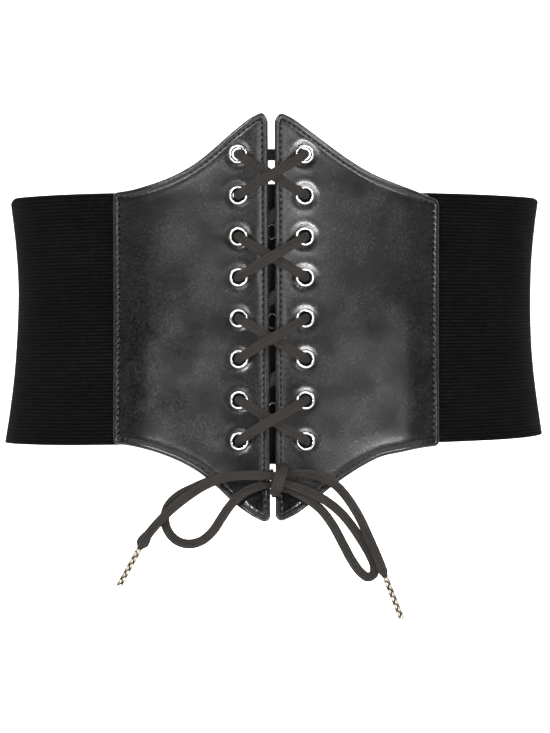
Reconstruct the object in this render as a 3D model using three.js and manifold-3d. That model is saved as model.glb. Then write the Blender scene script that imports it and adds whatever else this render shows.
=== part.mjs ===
// A corset belt as it is worn: two stiff front panels laced together, a wide elastic band round the
// back, and a bow. Millimetres. X is to the viewer's right, Y goes away from the viewer, Z is up.
// The origin is the middle of the waist hollow, half-way up the elastic band.

import * as THREE from 'three';
import { mergeVertices } from 'three/addons/utils/BufferGeometryUtils.js';
import Module from 'manifold-3d';

const wasm = await Module();
wasm.setup();

// The waist that the belt goes round, measured to the inside of the elastic.
const WAIST_HALF_WIDTH = 133.8;
const WAIST_HALF_DEPTH = 88;
const WAIST_LEVEL = 9;
const SQUARENESS = 2.2;
const FLARE_HEIGHT = 61.5;
const WIDTH_FLARE = 12.7;
const DEPTH_FLARE_ABOVE = 6;
const DEPTH_FLARE_BELOW = 8.4;

// Elastic band. Its lower edge dips at one side and rises a little at the other, as worn.
const ELASTIC_TOP = 62.8;
const ELASTIC_BOTTOM = -62;
const ELASTIC_WALL = 1.2;
const ELASTIC_UNDER_PANEL = 11.5;
const ELASTIC_DIP_LEFT = 3;
const ELASTIC_RISE_RIGHT = 1.5;

// Front panels. Side edges are distances from the middle plane.
const PANEL_HALF_HEIGHT = 100;
const PANEL_WALL = 2.2;
const PANEL_CORNER_RADIUS = 2.4;
const PANEL_SIDE_EDGE = { left: 80.5, right: 82.5 };

// The lacing edge stands off the body by the room that the cord takes behind it.
const LACE_ROOM = 5.5;
const STANDOFF_REACH = 66;

// The gap between the panels leans a little and narrows downwards.
const GAP_MIDDLE_TOP = -1.5;
const GAP_MIDDLE_BOTTOM = -0.6;
const GAP_WIDTH_TOP = 3.2;
const GAP_WIDTH_BOTTOM = 2.5;

// Strip behind the gap, sewn to the right panel only.
const BACKING_TOP = 66.6;
const BACKING_BOTTOM = -71.5;
const BACKING_WALL = 1.2;
const BACKING_FREE_EDGE = -20;
const BACKING_FLAT_EDGE = 22;
const BACKING_SEWN_FROM = 34;
const BACKING_SEWN_EDGE = 42;

// Wire loops on the strip.
const HOOK_WIRE = 1;
const HOOK_HEIGHT = 8.2;
const HOOK_WIDTH = 3.2;
const HOOK_PITCH = 44;
const HOOK_MIDDLE_LEVEL = -0.9;

// Eyelets.
const EYELET_ROWS = 8;
const EYELET_TOP_ROW = 80.8;
const EYELET_PITCH = 20.1;
const EYELET_INSET = 16.3;
const EYELET_HOLE_RADIUS = 3.1;
const EYELET_METAL = 0.35;
const EYELET_FLANGE_RADIUS = 4.65;
const EYELET_FLANGE_RISE = 0.7;
const EYELET_BACK_RADIUS = 4.25;
const EYELET_BACK_RISE = 0.6;

// Cord and its metal tips.
const CORD_DIAMETER = 4.6;
const CORD_PRESSED_FRONT = 3.8;
const CORD_PRESSED_BACK = 2.4;
const CORD_PRESSED_GAP = 1.6;
const AGLET_DIAMETER = 3;
const AGLET_LENGTH = 22;
const AGLET_RIM = 0.25;

// Space left between pieces that touch, and between a barrel and its hole.
const CLEARANCE = 0.3;

const ROUND_SIDES = 12;
const CORD_SIDES = 8;
const PANEL_ROWS = 8;
const ELASTIC_COLUMNS = 50;
const ELASTIC_ROWS = 5;

// Top and bottom contours of the panels: heights as shares of the panel's half height, at shares of
// the way across from the lacing edge to the side edge.
const PANEL_CONTOUR = [
  { across: 0, leftTop: 0.964, rightTop: 0.965, leftBottom: 0.966, rightBottom: 0.96 },
  { across: 0.012, leftTop: 0.99, rightTop: 0.988, leftBottom: 0.98, rightBottom: 0.975 },
  { across: 0.038, leftTop: 1.008, rightTop: 1.005, leftBottom: 0.987, rightBottom: 0.983 },
  { across: 0.08, leftTop: 0.997, rightTop: 0.995, leftBottom: 0.974, rightBottom: 0.97 },
  { across: 0.13, leftTop: 0.974, rightTop: 0.971, leftBottom: 0.953, rightBottom: 0.949 },
  { across: 0.23, leftTop: 0.914, rightTop: 0.912, leftBottom: 0.9, rightBottom: 0.892 },
  { across: 0.33, leftTop: 0.848, rightTop: 0.852, leftBottom: 0.828, rightBottom: 0.829 },
  { across: 0.44, leftTop: 0.78, rightTop: 0.789, leftBottom: 0.759, rightBottom: 0.767 },
  { across: 0.54, leftTop: 0.732, rightTop: 0.739, leftBottom: 0.714, rightBottom: 0.718 },
  { across: 0.64, leftTop: 0.696, rightTop: 0.699, leftBottom: 0.68, rightBottom: 0.68 },
  { across: 0.75, leftTop: 0.667, rightTop: 0.665, leftBottom: 0.652, rightBottom: 0.661 },
  { across: 0.87, leftTop: 0.643, rightTop: 0.631, leftBottom: 0.632, rightBottom: 0.643 },
  { across: 1, leftTop: 0.629, rightTop: 0.591, leftBottom: 0.62, rightBottom: 0.631 },
];

// Routes of the bow, chosen by hand: x and z as seen from the front, and rise above the panel face.
const BOW_ROUTES = {
  bow_end_left: [
    { x: 1.4, z: -76.6, rise: 6.7 },
    { x: -6, z: -76, rise: 6.9 },
    { x: -10.2, z: -75.9, rise: 7.1 },
    { x: -14.3, z: -76, rise: 7.2 },
    { x: -18.1, z: -76.2, rise: 7.3 },
    { x: -21.7, z: -76.7, rise: 7.3 },
    { x: -25.4, z: -77.6, rise: 7.3 },
    { x: -29, z: -78.9, rise: 7.3 },
    { x: -32.7, z: -80.6, rise: 7.3 },
    { x: -36.4, z: -82.6, rise: 7.3 },
    { x: -40, z: -85, rise: 7.3 },
    { x: -43.7, z: -87.7, rise: 7.3 },
    { x: -47.4, z: -90.6, rise: 7.4 },
    { x: -51.1, z: -93.8, rise: 7.4 },
    { x: -54.9, z: -97.6, rise: 7.1 },
    { x: -58.4, z: -101.4, rise: 6.6 },
    { x: -61.1, z: -104.7, rise: 5.8 },
    { x: -63.3, z: -107.6, rise: 5 },
    { x: -66.2, z: -112.8, rise: 4 },
  ],
  bow_loop_left: [
    { x: 0.8, z: -80.6, rise: 2.4 },
    { x: -5, z: -81.1, rise: 2.6 },
    { x: -9.9, z: -82.3, rise: 2.8 },
    { x: -15.8, z: -85.5, rise: 3 },
    { x: -21.2, z: -90.7, rise: 3.2 },
    { x: -25.6, z: -97, rise: 3.4 },
    { x: -30, z: -103.6, rise: 3.4 },
    { x: -35.4, z: -108.3, rise: 3.2 },
    { x: -41.7, z: -110, rise: 3 },
    { x: -48.1, z: -108.3, rise: 2.7 },
    { x: -52.5, z: -103.4, rise: 2.4 },
    { x: -53.8, z: -97.5, rise: 2.2 },
    { x: -52, z: -91.6, rise: 2.2 },
    { x: -47.1, z: -86.7, rise: 2.3 },
    { x: -40.3, z: -83.1, rise: 2.4 },
    { x: -32.4, z: -79.6, rise: 2.5 },
    { x: -22.6, z: -76.9, rise: 2.5 },
    { x: -11.9, z: -76.2, rise: 2.5 },
    { x: 1.6, z: -76.4, rise: 2.4 },
  ],
  bow_end_right: [
    { x: 3.6, z: -76.3, rise: 2.6 },
    { x: 8.7, z: -75.4, rise: 2.8 },
    { x: 12, z: -75.4, rise: 2.9 },
    { x: 15.6, z: -75.6, rise: 3 },
    { x: 19.1, z: -76.1, rise: 3.2 },
    { x: 22.4, z: -76.9, rise: 3.4 },
    { x: 25.4, z: -78.2, rise: 3.7 },
    { x: 28.3, z: -79.9, rise: 4 },
    { x: 31.1, z: -82.1, rise: 4.5 },
    { x: 33.7, z: -84.8, rise: 5 },
    { x: 36.2, z: -88, rise: 5.6 },
    { x: 38.6, z: -91.6, rise: 6.2 },
    { x: 40.9, z: -95.4, rise: 6.8 },
    { x: 43, z: -99.5, rise: 7.2 },
    { x: 45, z: -103.9, rise: 7.5 },
    { x: 47, z: -108.3, rise: 7.6 },
    { x: 48.8, z: -112.4, rise: 7.6 },
    { x: 50.6, z: -116.6, rise: 7.4 },
    { x: 54.3, z: -126, rise: 6.4 },
  ],
  bow_loop_right: [
    { x: 3.2, z: -79.4, rise: 6.7 },
    { x: 10.2, z: -81.3, rise: 6.8 },
    { x: 17.5, z: -84.3, rise: 6.4 },
    { x: 24.9, z: -88.4, rise: 5.2 },
    { x: 32.2, z: -94.3, rise: 4 },
    { x: 38.1, z: -101.4, rise: 3.2 },
    { x: 43, z: -108.8, rise: 2.8 },
    { x: 46.9, z: -115.6, rise: 2.7 },
    { x: 49, z: -121, rise: 2.7 },
    { x: 48.6, z: -124.8, rise: 2.7 },
    { x: 45.9, z: -126.2, rise: 2.7 },
    { x: 42.4, z: -123.9, rise: 2.7 },
    { x: 38.1, z: -118.1, rise: 2.7 },
    { x: 33.7, z: -110, rise: 2.7 },
    { x: 28.8, z: -100.9, rise: 2.7 },
    { x: 22.9, z: -93.1, rise: 2.6 },
    { x: 16.1, z: -87.7, rise: 2.5 },
    { x: 9.7, z: -84.2, rise: 2.4 },
    { x: 3, z: -81.8, rise: 2.4 },
  ],
};

// How each of them is drawn: its steps, and its width as shares of the cord's at the knot, at the
// swelling before a tip and at the end.
const BOW_SHAPES = {
  bow_end_left: { steps: 12, root: 0.78, swell: 1.35, tip: 0.6 },
  bow_end_right: { steps: 12, root: 0.78, swell: 1, tip: 0.6 },
  bow_loop_left: { steps: 21, root: 0.78, swell: 1, tip: 0.78 },
  bow_loop_right: { steps: 24, root: 0.78, swell: 1, tip: 0.78 },
};

// The turn of cord round the middle of the bow.
const KNOT_MIDDLE = { x: 1.9, z: -79.1, rise: 3.4 };
const KNOT_HALF_HEIGHT = 6.7;
const KNOT_RISE = 8.5;
const KNOT_LEAN = 0.18;
const KNOT_WIDTH = 4.9;
const KNOT_THICKNESS = 2.8;
const KNOT_STEPS = 12;
const KNOT_TUCK = 0.17;

// Heights at which the lacing's two ends come out through the gap to the bow.
const LACE_EXIT = { left: -76.5, right: -84.6 };
const LACE_EDGE_SPREAD = 1.3;

const mix = THREE.MathUtils.lerp;
const UP_AXIS = new THREE.Vector3(0, 1, 0);
const SIDE_AXIS = new THREE.Vector3(1, 0, 0);

// Half width and half depth of the body at one height.
const bodySize = (z) => {
  const away = (z - WAIST_LEVEL) / FLARE_HEIGHT;
  const flare = Math.hypot(1, away) - 1;
  const depthFlare = z > WAIST_LEVEL ? DEPTH_FLARE_ABOVE : DEPTH_FLARE_BELOW;
  return {
    across: WAIST_HALF_WIDTH + WIDTH_FLARE * flare,
    deep: WAIST_HALF_DEPTH + depthFlare * flare,
  };
};

// Point on the body at an angle from the front middle, with the outward direction there.
const bodySpot = (angle, z) => {
  const { across, deep } = bodySize(z);
  const sine = Math.sin(angle);
  const cosine = Math.cos(angle);
  const power = Math.abs(sine / across) ** SQUARENESS + Math.abs(cosine / deep) ** SQUARENESS;
  const reach = power ** (-1 / SQUARENESS);
  const x = reach * sine;
  const y = -reach * cosine;
  const slopeX = (Math.sign(x) * Math.abs(x / across) ** (SQUARENESS - 1)) / across;
  const slopeY = (Math.sign(y) * Math.abs(y / deep) ** (SQUARENESS - 1)) / deep;
  return {
    point: new THREE.Vector3(x, y, z),
    outward: new THREE.Vector3(slopeX, slopeY, 0).normalize(),
  };
};

const liftedPoint = (angle, z, lift) => {
  const { point, outward } = bodySpot(angle, z);
  return point.addScaledVector(outward, lift);
};

// Angle at which a point lifted off the front of the body is seen at x.
const frontAngle = (x, z, lift) => {
  const { across, deep } = bodySize(z);
  let bare = x;
  let angle = 0;
  for (let pass = 0; pass < 4; pass += 1) {
    const share = Math.min(1, Math.abs(bare / across));
    angle = Math.atan2(bare, deep * (1 - share ** SQUARENESS) ** (1 / SQUARENESS));
    bare = x - lift * bodySpot(angle, z).outward.x;
  }
  return angle;
};

// Middle and half width of the gap between the panels at one height.
const gapAt = (z) => {
  const share = (z + PANEL_HALF_HEIGHT) / (2 * PANEL_HALF_HEIGHT);
  return {
    middle: mix(GAP_MIDDLE_BOTTOM, GAP_MIDDLE_TOP, share),
    half: mix(GAP_WIDTH_BOTTOM, GAP_WIDTH_TOP, share) / 2,
  };
};

// Lift of the panels' inner and outer faces off the body.
const panelInside = (x, z) => {
  const share = Math.min(1, Math.abs(x - gapAt(z).middle) / STANDOFF_REACH);
  const rise = Math.cos((share * Math.PI) / 2) ** 2;
  return ELASTIC_WALL + CLEARANCE + LACE_ROOM * rise;
};
const panelOutside = (x, z) => panelInside(x, z) + PANEL_WALL;

const material = (color, roughness, metalness) => (
  new THREE.MeshStandardMaterial({ color, roughness, metalness })
);
const LEATHER = () => material('#1d1d1f', 0.5, 0);
const ELASTIC = () => material('#121212', 0.85, 0);
const CORD = () => material('#38332f', 0.8, 0);
const NICKEL = () => material('#dcdcdc', 0.15, 1);
const STEEL = () => material('#b8b8b8', 0.3, 1);
const OLD_BRASS = () => material('#8a744c', 0.35, 1);

const belt = new THREE.Group();

const addPiece = (name, geometry, finish) => {
  const mesh = new THREE.Mesh(geometry, finish());
  mesh.name = name;
  belt.add(mesh);
  return mesh;
};

const closedGeometry = (points, faces) => {
  const geometry = new THREE.BufferGeometry();
  geometry.setFromPoints(points);
  geometry.setIndex(faces);
  geometry.computeVertexNormals();
  return geometry;
};

// A wall between an inner and an outer face, given by the point at each share across and up.
const wallGeometry = (columnShares, rowShares, pointAt) => {
  const columns = columnShares.length;
  const rows = rowShares.length;
  const points = [];
  for (const layer of [0, 1]) {
    for (const across of columnShares) {
      for (const up of rowShares) points.push(pointAt(across, up, layer));
    }
  }
  const at = (layer, i, j) => (layer * columns + i) * rows + j;
  const faces = [];
  const quad = (a, b, c, d) => faces.push(a, b, c, a, c, d);
  const lastColumn = columns - 1;
  const lastRow = rows - 1;
  for (let i = 0; i < lastColumn; i += 1) {
    for (let j = 0; j < lastRow; j += 1) {
      quad(at(1, i, j), at(1, i + 1, j), at(1, i + 1, j + 1), at(1, i, j + 1));
      quad(at(0, i, j), at(0, i, j + 1), at(0, i + 1, j + 1), at(0, i + 1, j));
    }
    quad(at(0, i, 0), at(0, i + 1, 0), at(1, i + 1, 0), at(1, i, 0));
    quad(at(1, i, lastRow), at(1, i + 1, lastRow), at(0, i + 1, lastRow), at(0, i, lastRow));
  }
  for (let j = 0; j < lastRow; j += 1) {
    quad(at(0, 0, j), at(1, 0, j), at(1, 0, j + 1), at(0, 0, j + 1));
    quad(
      at(1, lastColumn, j),
      at(0, lastColumn, j),
      at(0, lastColumn, j + 1),
      at(1, lastColumn, j + 1),
    );
  }
  return closedGeometry(points, faces);
};

// A rope through its stations. Each has a point and a radius, and may be flattened along a
// direction: press is that direction, flat and wide are the section's factors along and across it.
const ropeGeometry = (stations, sides) => {
  const points = [];
  let normal = null;
  stations.forEach((station, index) => {
    const before = stations[Math.max(0, index - 1)].point;
    const after = stations[Math.min(stations.length - 1, index + 1)].point;
    const tangent = after.clone().sub(before).normalize();
    if (!normal) normal = new THREE.Vector3(0, 0, 1).cross(tangent);
    if (normal.lengthSq() < 0.01) normal = new THREE.Vector3(1, 0, 0).cross(tangent);
    normal.addScaledVector(tangent, -normal.dot(tangent)).normalize();
    const binormal = tangent.clone().cross(normal);
    const { press = SIDE_AXIS, flat = 1, wide = 1 } = station;
    const pressed = press.clone().addScaledVector(tangent, -press.dot(tangent)).normalize();
    const spread = tangent.clone().cross(pressed);
    for (let side = 0; side < sides; side += 1) {
      const turn = (side / sides) * 2 * Math.PI;
      const offset = normal.clone().multiplyScalar(Math.cos(turn));
      offset.addScaledVector(binormal, Math.sin(turn)).multiplyScalar(station.radius);
      const along = offset.dot(pressed);
      const sideways = offset.dot(spread);
      offset.addScaledVector(pressed, (flat - 1) * along);
      offset.addScaledVector(spread, (wide - 1) * sideways);
      points.push(offset.add(station.point));
    }
  });
  const faces = [];
  const last = (stations.length - 1) * sides;
  for (let ring = 0; ring < stations.length - 1; ring += 1) {
    for (let side = 0; side < sides; side += 1) {
      const here = ring * sides + side;
      const next = ring * sides + ((side + 1) % sides);
      faces.push(here, next, next + sides, here, next + sides, here + sides);
    }
  }
  for (let side = 1; side < sides - 1; side += 1) {
    faces.push(0, side + 1, side, last, last + side, last + side + 1);
  }
  return closedGeometry(points, faces);
};

const toSolid = (geometry) => {
  const bare = geometry.clone();
  bare.deleteAttribute('normal');
  bare.deleteAttribute('uv');
  const merged = mergeVertices(bare, 1e-4);
  return new wasm.Manifold(new wasm.Mesh({
    numProp: 3,
    vertProperties: merged.attributes.position.array,
    triVerts: Uint32Array.from(merged.index.array),
  }));
};

const fromSolid = (solid) => {
  const { vertProperties, triVerts } = solid.getMesh();
  const geometry = new THREE.BufferGeometry();
  geometry.setAttribute('position', new THREE.BufferAttribute(vertProperties, 3));
  geometry.setIndex(new THREE.BufferAttribute(triVerts, 1));
  geometry.computeVertexNormals();
  return geometry;
};

// Evenly spaced shares from 0 to 1.
const evenShares = (count) => Array.from({ length: count + 1 }, (_, index) => index / count);

// Smooth value of one column of the contour table.
const contourAt = (column, across) => {
  const rows = PANEL_CONTOUR;
  const found = rows.findIndex((row) => row.across >= across);
  const high = Math.max(1, found);
  const low = high - 1;
  const slope = (index) => {
    const from = rows[Math.max(0, index - 1)];
    const to = rows[Math.min(rows.length - 1, index + 1)];
    return (to[column] - from[column]) / (to.across - from.across);
  };
  const span = rows[high].across - rows[low].across;
  const share = (across - rows[low].across) / span;
  const square = share * share;
  const cube = square * share;
  return (2 * cube - 3 * square + 1) * rows[low][column]
    + (cube - 2 * square + share) * span * slope(low)
    + (3 * square - 2 * cube) * rows[high][column]
    + (cube - square) * span * slope(high);
};

// Heights of a panel's two contours, with its rounded side corners.
const panelHeights = (side, across) => {
  const toEdge = (1 - across) * PANEL_SIDE_EDGE[side];
  const inRound = Math.max(0, PANEL_CORNER_RADIUS - toEdge);
  const drop = PANEL_CORNER_RADIUS - Math.sqrt(PANEL_CORNER_RADIUS ** 2 - inRound ** 2);
  return {
    top: PANEL_HALF_HEIGHT * contourAt(`${side}Top`, across) - drop,
    bottom: drop - PANEL_HALF_HEIGHT * contourAt(`${side}Bottom`, across),
  };
};

const panelColumns = (side) => {
  const round = PANEL_CORNER_RADIUS / PANEL_SIDE_EDGE[side];
  const shares = PANEL_CONTOUR.map((row) => row.across);
  const middles = shares.slice(4, -1).map((share, index) => (share + shares[index + 5]) / 2);
  const corner = [1, 0.5, 0.15].map((share) => 1 - round * share);
  return [...shares, ...middles, ...corner].sort((a, b) => a - b);
};

const eyeletSpot = (side, row) => {
  const z = EYELET_TOP_ROW - EYELET_PITCH * row;
  const sign = side === 'left' ? -1 : 1;
  return { x: gapAt(z).middle + sign * EYELET_INSET, z };
};

// Point of a panel's outer face as seen at x and z.
const facePoint = (x, z) => {
  const lift = panelOutside(x, z);
  return liftedPoint(frontAngle(x, z, lift), z, lift);
};

// The same point with the direction square to the face there.
const panelFrame = (x, z) => {
  const across = facePoint(x + 1, z).sub(facePoint(x - 1, z));
  const up = facePoint(x, z + 1).sub(facePoint(x, z - 1));
  return { point: facePoint(x, z), outward: across.cross(up).normalize() };
};

// Places a piece made along +Y with its base at a rise above a panel's face, square to the face.
const standOnPanel = (target, { x, z }, rise) => {
  const { point, outward } = panelFrame(x, z);
  target.position.copy(point).addScaledVector(outward, rise);
  target.quaternion.setFromUnitVectors(UP_AXIS, outward);
};

const panelGeometry = (side) => {
  const sign = side === 'left' ? -1 : 1;
  const columns = panelColumns(side);
  if (sign < 0) columns.reverse();
  const blank = wallGeometry(columns, evenShares(PANEL_ROWS), (across, up, layer) => {
    const { top, bottom } = panelHeights(side, across);
    const z = mix(bottom, top, up);
    const gap = gapAt(z);
    const x = mix(gap.middle + sign * gap.half, sign * PANEL_SIDE_EDGE[side], across);
    const angle = frontAngle(x, z, panelOutside(x, z));
    return liftedPoint(angle, z, panelInside(x, z) + layer * PANEL_WALL);
  });
  let solid = toSolid(blank);
  const radius = EYELET_HOLE_RADIUS + EYELET_METAL + CLEARANCE;
  for (let row = 0; row < EYELET_ROWS; row += 1) {
    const cutter = new THREE.Object3D();
    standOnPanel(cutter, eyeletSpot(side, row), -PANEL_WALL / 2);
    cutter.updateMatrix();
    const hole = new THREE.CylinderGeometry(radius, radius, 3 * PANEL_WALL, ROUND_SIDES);
    hole.applyMatrix4(cutter.matrix);
    solid = solid.subtract(toSolid(hole));
  }
  return fromSolid(solid);
};

const eyeletGeometry = () => {
  const barrel = EYELET_HOLE_RADIUS + EYELET_METAL;
  const back = -PANEL_WALL - 2 * CLEARANCE;
  const crown = mix(EYELET_HOLE_RADIUS, EYELET_FLANGE_RADIUS, 0.42);
  const profile = [
    [EYELET_HOLE_RADIUS, EYELET_FLANGE_RISE / 2],
    [EYELET_HOLE_RADIUS, back - EYELET_BACK_RISE],
    [EYELET_BACK_RADIUS, back],
    [barrel, back],
    [barrel, 0],
    [EYELET_FLANGE_RADIUS, 0],
    [crown, EYELET_FLANGE_RISE],
    [EYELET_HOLE_RADIUS, EYELET_FLANGE_RISE / 2],
  ];
  return new THREE.LatheGeometry(profile.map((pair) => new THREE.Vector2(...pair)), ROUND_SIDES);
};

const addEyelets = (side) => {
  for (let row = 0; row < EYELET_ROWS; row += 1) {
    const eyelet = addPiece(`eyelet_${side}_${row + 1}`, eyeletGeometry(), NICKEL);
    standOnPanel(eyelet, eyeletSpot(side, row), CLEARANCE);
  }
};

const elasticGeometry = () => {
  const edge = (side) => PANEL_SIDE_EDGE[side] - ELASTIC_UNDER_PANEL;
  const start = frontAngle(edge('right'), 0, ELASTIC_WALL);
  const end = 2 * Math.PI - frontAngle(edge('left'), 0, ELASTIC_WALL);
  return wallGeometry(evenShares(ELASTIC_COLUMNS), evenShares(ELASTIC_ROWS), (share, up, layer) => {
    const angle = mix(start, end, share);
    const sideways = Math.sin(angle);
    const shift = sideways > 0 ? ELASTIC_RISE_RIGHT : -ELASTIC_DIP_LEFT;
    const z = mix(ELASTIC_BOTTOM + shift * sideways ** 4, ELASTIC_TOP, up);
    return liftedPoint(angle, z, layer * ELASTIC_WALL);
  });
};

// The strip lies on the body behind the gap and rises to the right panel's inner face.
const backingGeometry = () => {
  const places = [
    BACKING_FREE_EDGE,
    BACKING_FREE_EDGE / 2,
    0,
    BACKING_FLAT_EDGE / 2,
    BACKING_FLAT_EDGE,
    (BACKING_FLAT_EDGE + BACKING_SEWN_FROM) / 2,
    BACKING_SEWN_FROM,
    BACKING_SEWN_EDGE,
  ];
  return wallGeometry(places, evenShares(ELASTIC_ROWS), (x, up, layer) => {
    const z = mix(BACKING_BOTTOM, BACKING_TOP, up);
    const share = (x - BACKING_FLAT_EDGE) / (BACKING_SEWN_FROM - BACKING_FLAT_EDGE);
    const sewn = THREE.MathUtils.smoothstep(share, 0, 1);
    const lift = sewn * (panelInside(x, z) - CLEARANCE - BACKING_WALL);
    return liftedPoint(frontAngle(x, z, lift), z, lift + layer * BACKING_WALL);
  });
};

// A closed wire loop with round ends, standing upright on the strip.
const hookGeometry = (level) => {
  const reach = HOOK_WIDTH / 2;
  const straight = (HOOK_HEIGHT - HOOK_WIRE) / 2 - reach;
  const lift = BACKING_WALL + CLEARANCE + HOOK_WIRE / 2;
  const middle = gapAt(level).middle;
  const rim = [];
  for (let step = 0; step < ROUND_SIDES; step += 1) {
    const turn = ((step + 0.5) / ROUND_SIDES) * 2 * Math.PI;
    const end = Math.sin(turn) > 0 ? straight : -straight;
    rim.push({ x: middle + reach * Math.cos(turn), z: level + end + reach * Math.sin(turn) });
  }
  const centre = liftedPoint(frontAngle(middle, level, lift), level, lift);
  const outward = bodySpot(frontAngle(middle, level, lift), level).outward;
  const sides = 6;
  const points = [];
  rim.forEach(({ x, z }, index) => {
    const before = rim[(index + rim.length - 1) % rim.length];
    const after = rim[(index + 1) % rim.length];
    const away = new THREE.Vector3(after.z - before.z, 0, before.x - after.x).normalize();
    const at = new THREE.Vector3(x - middle, 0, z - level).add(centre);
    for (let side = 0; side < sides; side += 1) {
      const turn = (side / sides) * 2 * Math.PI;
      const offset = away.clone().multiplyScalar(Math.cos(turn) * (HOOK_WIRE / 2));
      points.push(offset.addScaledVector(outward, Math.sin(turn) * (HOOK_WIRE / 2)).add(at));
    }
  });
  const faces = [];
  for (let ring = 0; ring < rim.length; ring += 1) {
    const next = (ring + 1) % rim.length;
    for (let side = 0; side < sides; side += 1) {
      const turned = (side + 1) % sides;
      const [a, b] = [ring * sides + side, ring * sides + turned];
      const [c, d] = [next * sides + turned, next * sides + side];
      faces.push(a, c, b, a, d, c);
    }
  }
  return closedGeometry(points, faces);
};

// A station of the cord, pressed along a direction to a given height.
const cordStation = (point, press, height = CORD_DIAMETER) => {
  const flat = height / CORD_DIAMETER;
  return { point, press, flat, wide: flat ** -0.35, radius: CORD_DIAMETER / 2 };
};

// One at a lift off the front of the body.
const bodyStation = (x, z, lift, height) => {
  const angle = frontAngle(x, z, lift);
  return cordStation(liftedPoint(angle, z, lift), bodySpot(angle, z).outward, height);
};

// One at a rise above the panels' face, or below it.
const faceStation = (x, z, rise, height) => {
  const { point, outward } = panelFrame(x, z);
  return cordStation(point.addScaledVector(outward, rise), outward, height);
};

// A crossing from one eyelet's axis to another's, given by its stops up to the middle. A stop is at
// a distance or a share of the way, with a rise above the panels' face or a lift off the body.
const crossing = (from, to, stops) => {
  const length = Math.hypot(to.x - from.x, to.z - from.z);
  const near = stops.map(({ at = 0, share = at / length, ...rest }) => ({ share, ...rest }));
  const far = near.slice(0, -1).map((stop) => ({ ...stop, share: 1 - stop.share })).reverse();
  return [...near, ...far].map(({ share, rise, lift, height }) => {
    const x = mix(from.x, to.x, share);
    const z = mix(from.z, to.z, share);
    return lift ? bodyStation(x, z, lift, height) : faceStation(x, z, rise, height);
  });
};

const frontCrossing = (from, to, onTop) => {
  const flangeTop = CLEARANCE + EYELET_FLANGE_RISE;
  const shoulder = flangeTop + CORD_DIAMETER / 2 + CLEARANCE;
  const low = CLEARANCE + CORD_PRESSED_FRONT / 2;
  const high = low + CORD_PRESSED_FRONT + 2 * CLEARANCE;
  const aside = onTop ? mix(shoulder, high, 0.55) : mix(shoulder, low, 0.8);
  return crossing(from, to, [
    { at: 0, rise: shoulder - EYELET_HOLE_RADIUS + CLEARANCE },
    { at: 0.65 * EYELET_HOLE_RADIUS, rise: shoulder - CLEARANCE },
    { at: 1.6 * EYELET_HOLE_RADIUS, rise: shoulder },
    { share: 0.3, rise: aside, height: CORD_PRESSED_FRONT },
    { share: 0.5, rise: onTop ? high : low, height: CORD_PRESSED_FRONT },
  ]);
};

// Behind a panel's eyelet the cord bends close under its rolled edge.
const BEHIND_EYELET = -PANEL_WALL - 3 * CLEARANCE - EYELET_BACK_RISE;
const BEND_HEIGHT = 0.55 * CORD_DIAMETER;
const BEND_STOPS = [
  { at: 0, rise: -PANEL_WALL },
  { at: CORD_DIAMETER / 2, rise: BEHIND_EYELET - BEND_HEIGHT / 2, height: BEND_HEIGHT },
];

const backCrossing = (from, to, onTop) => {
  const low = BACKING_WALL + CLEARANCE + CORD_PRESSED_BACK / 2;
  const lift = onTop ? low + CORD_PRESSED_BACK + CLEARANCE : low;
  return crossing(from, to, [
    ...BEND_STOPS,
    { share: 0.3, lift, height: CORD_PRESSED_BACK },
    { share: 0.5, lift, height: CORD_PRESSED_BACK },
  ]);
};

// From the last eyelet down behind the panel, then out through the gap with the cord on edge.
const laceEnd = (side) => {
  const sign = side === 'left' ? -1 : 1;
  const spot = eyeletSpot(side, EYELET_ROWS - 1);
  const exit = LACE_EXIT[side];
  const { middle } = gapAt(exit);
  const level = BACKING_WALL + CLEARANCE + CORD_PRESSED_BACK;
  const inside = panelInside(middle, exit);
  const onEdge = (x, lift) => ({
    ...bodyStation(x, exit, lift, CORD_PRESSED_GAP),
    press: SIDE_AXIS,
    wide: LACE_EDGE_SPREAD,
  });
  const bends = BEND_STOPS.map(({ at, rise, height }) => faceStation(spot.x, spot.z - at, rise, height));
  return [
    onEdge(middle, inside + PANEL_WALL - CLEARANCE),
    onEdge(middle, inside),
    onEdge(middle + sign * CLEARANCE * 3, inside - CORD_PRESSED_BACK),
    bodyStation(middle + sign * 4, exit, level, CORD_PRESSED_BACK),
    bodyStation(mix(middle, spot.x, 0.6), mix(exit, spot.z, 0.3), level, CORD_PRESSED_BACK),
    bodyStation(spot.x, mix(exit, spot.z, 0.7), level, CORD_PRESSED_BACK),
    ...bends.reverse(),
  ];
};

// One cord: up one zigzag from the bow to the top bar, and down the other back to the bow.
const lacingGeometry = () => {
  const stations = laceEnd('left');
  let side = 'left';
  const across = () => (side === 'left' ? 'right' : 'left');
  for (let row = EYELET_ROWS - 1; row > 0; row -= 1) {
    const inFront = row % 2 === 1;
    const stretch = inFront ? frontCrossing : backCrossing;
    stations.push(...stretch(eyeletSpot(side, row), eyeletSpot(across(), row - 1), inFront));
    side = across();
  }
  stations.push(...backCrossing(eyeletSpot(side, 0), eyeletSpot(across(), 0), false));
  side = across();
  for (let row = 0; row < EYELET_ROWS - 1; row += 1) {
    const inFront = row % 2 === 0;
    const stretch = inFront ? frontCrossing : backCrossing;
    stations.push(...stretch(eyeletSpot(side, row), eyeletSpot(across(), row + 1), !inFront));
    side = across();
  }
  stations.push(...laceEnd('right').reverse());
  const apart = stations.filter((station, index) => (
    index === 0 || station.point.distanceTo(stations[index - 1].point) > CLEARANCE
  ));
  return ropeGeometry(apart, CORD_SIDES);
};

const routePoint = ({ x, z, rise }) => {
  const lift = panelOutside(x, z) + rise;
  return liftedPoint(frontAngle(x, z, lift), z, lift);
};

const bowCurve = (name) => new THREE.CatmullRomCurve3(BOW_ROUTES[name].map(routePoint));

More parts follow.
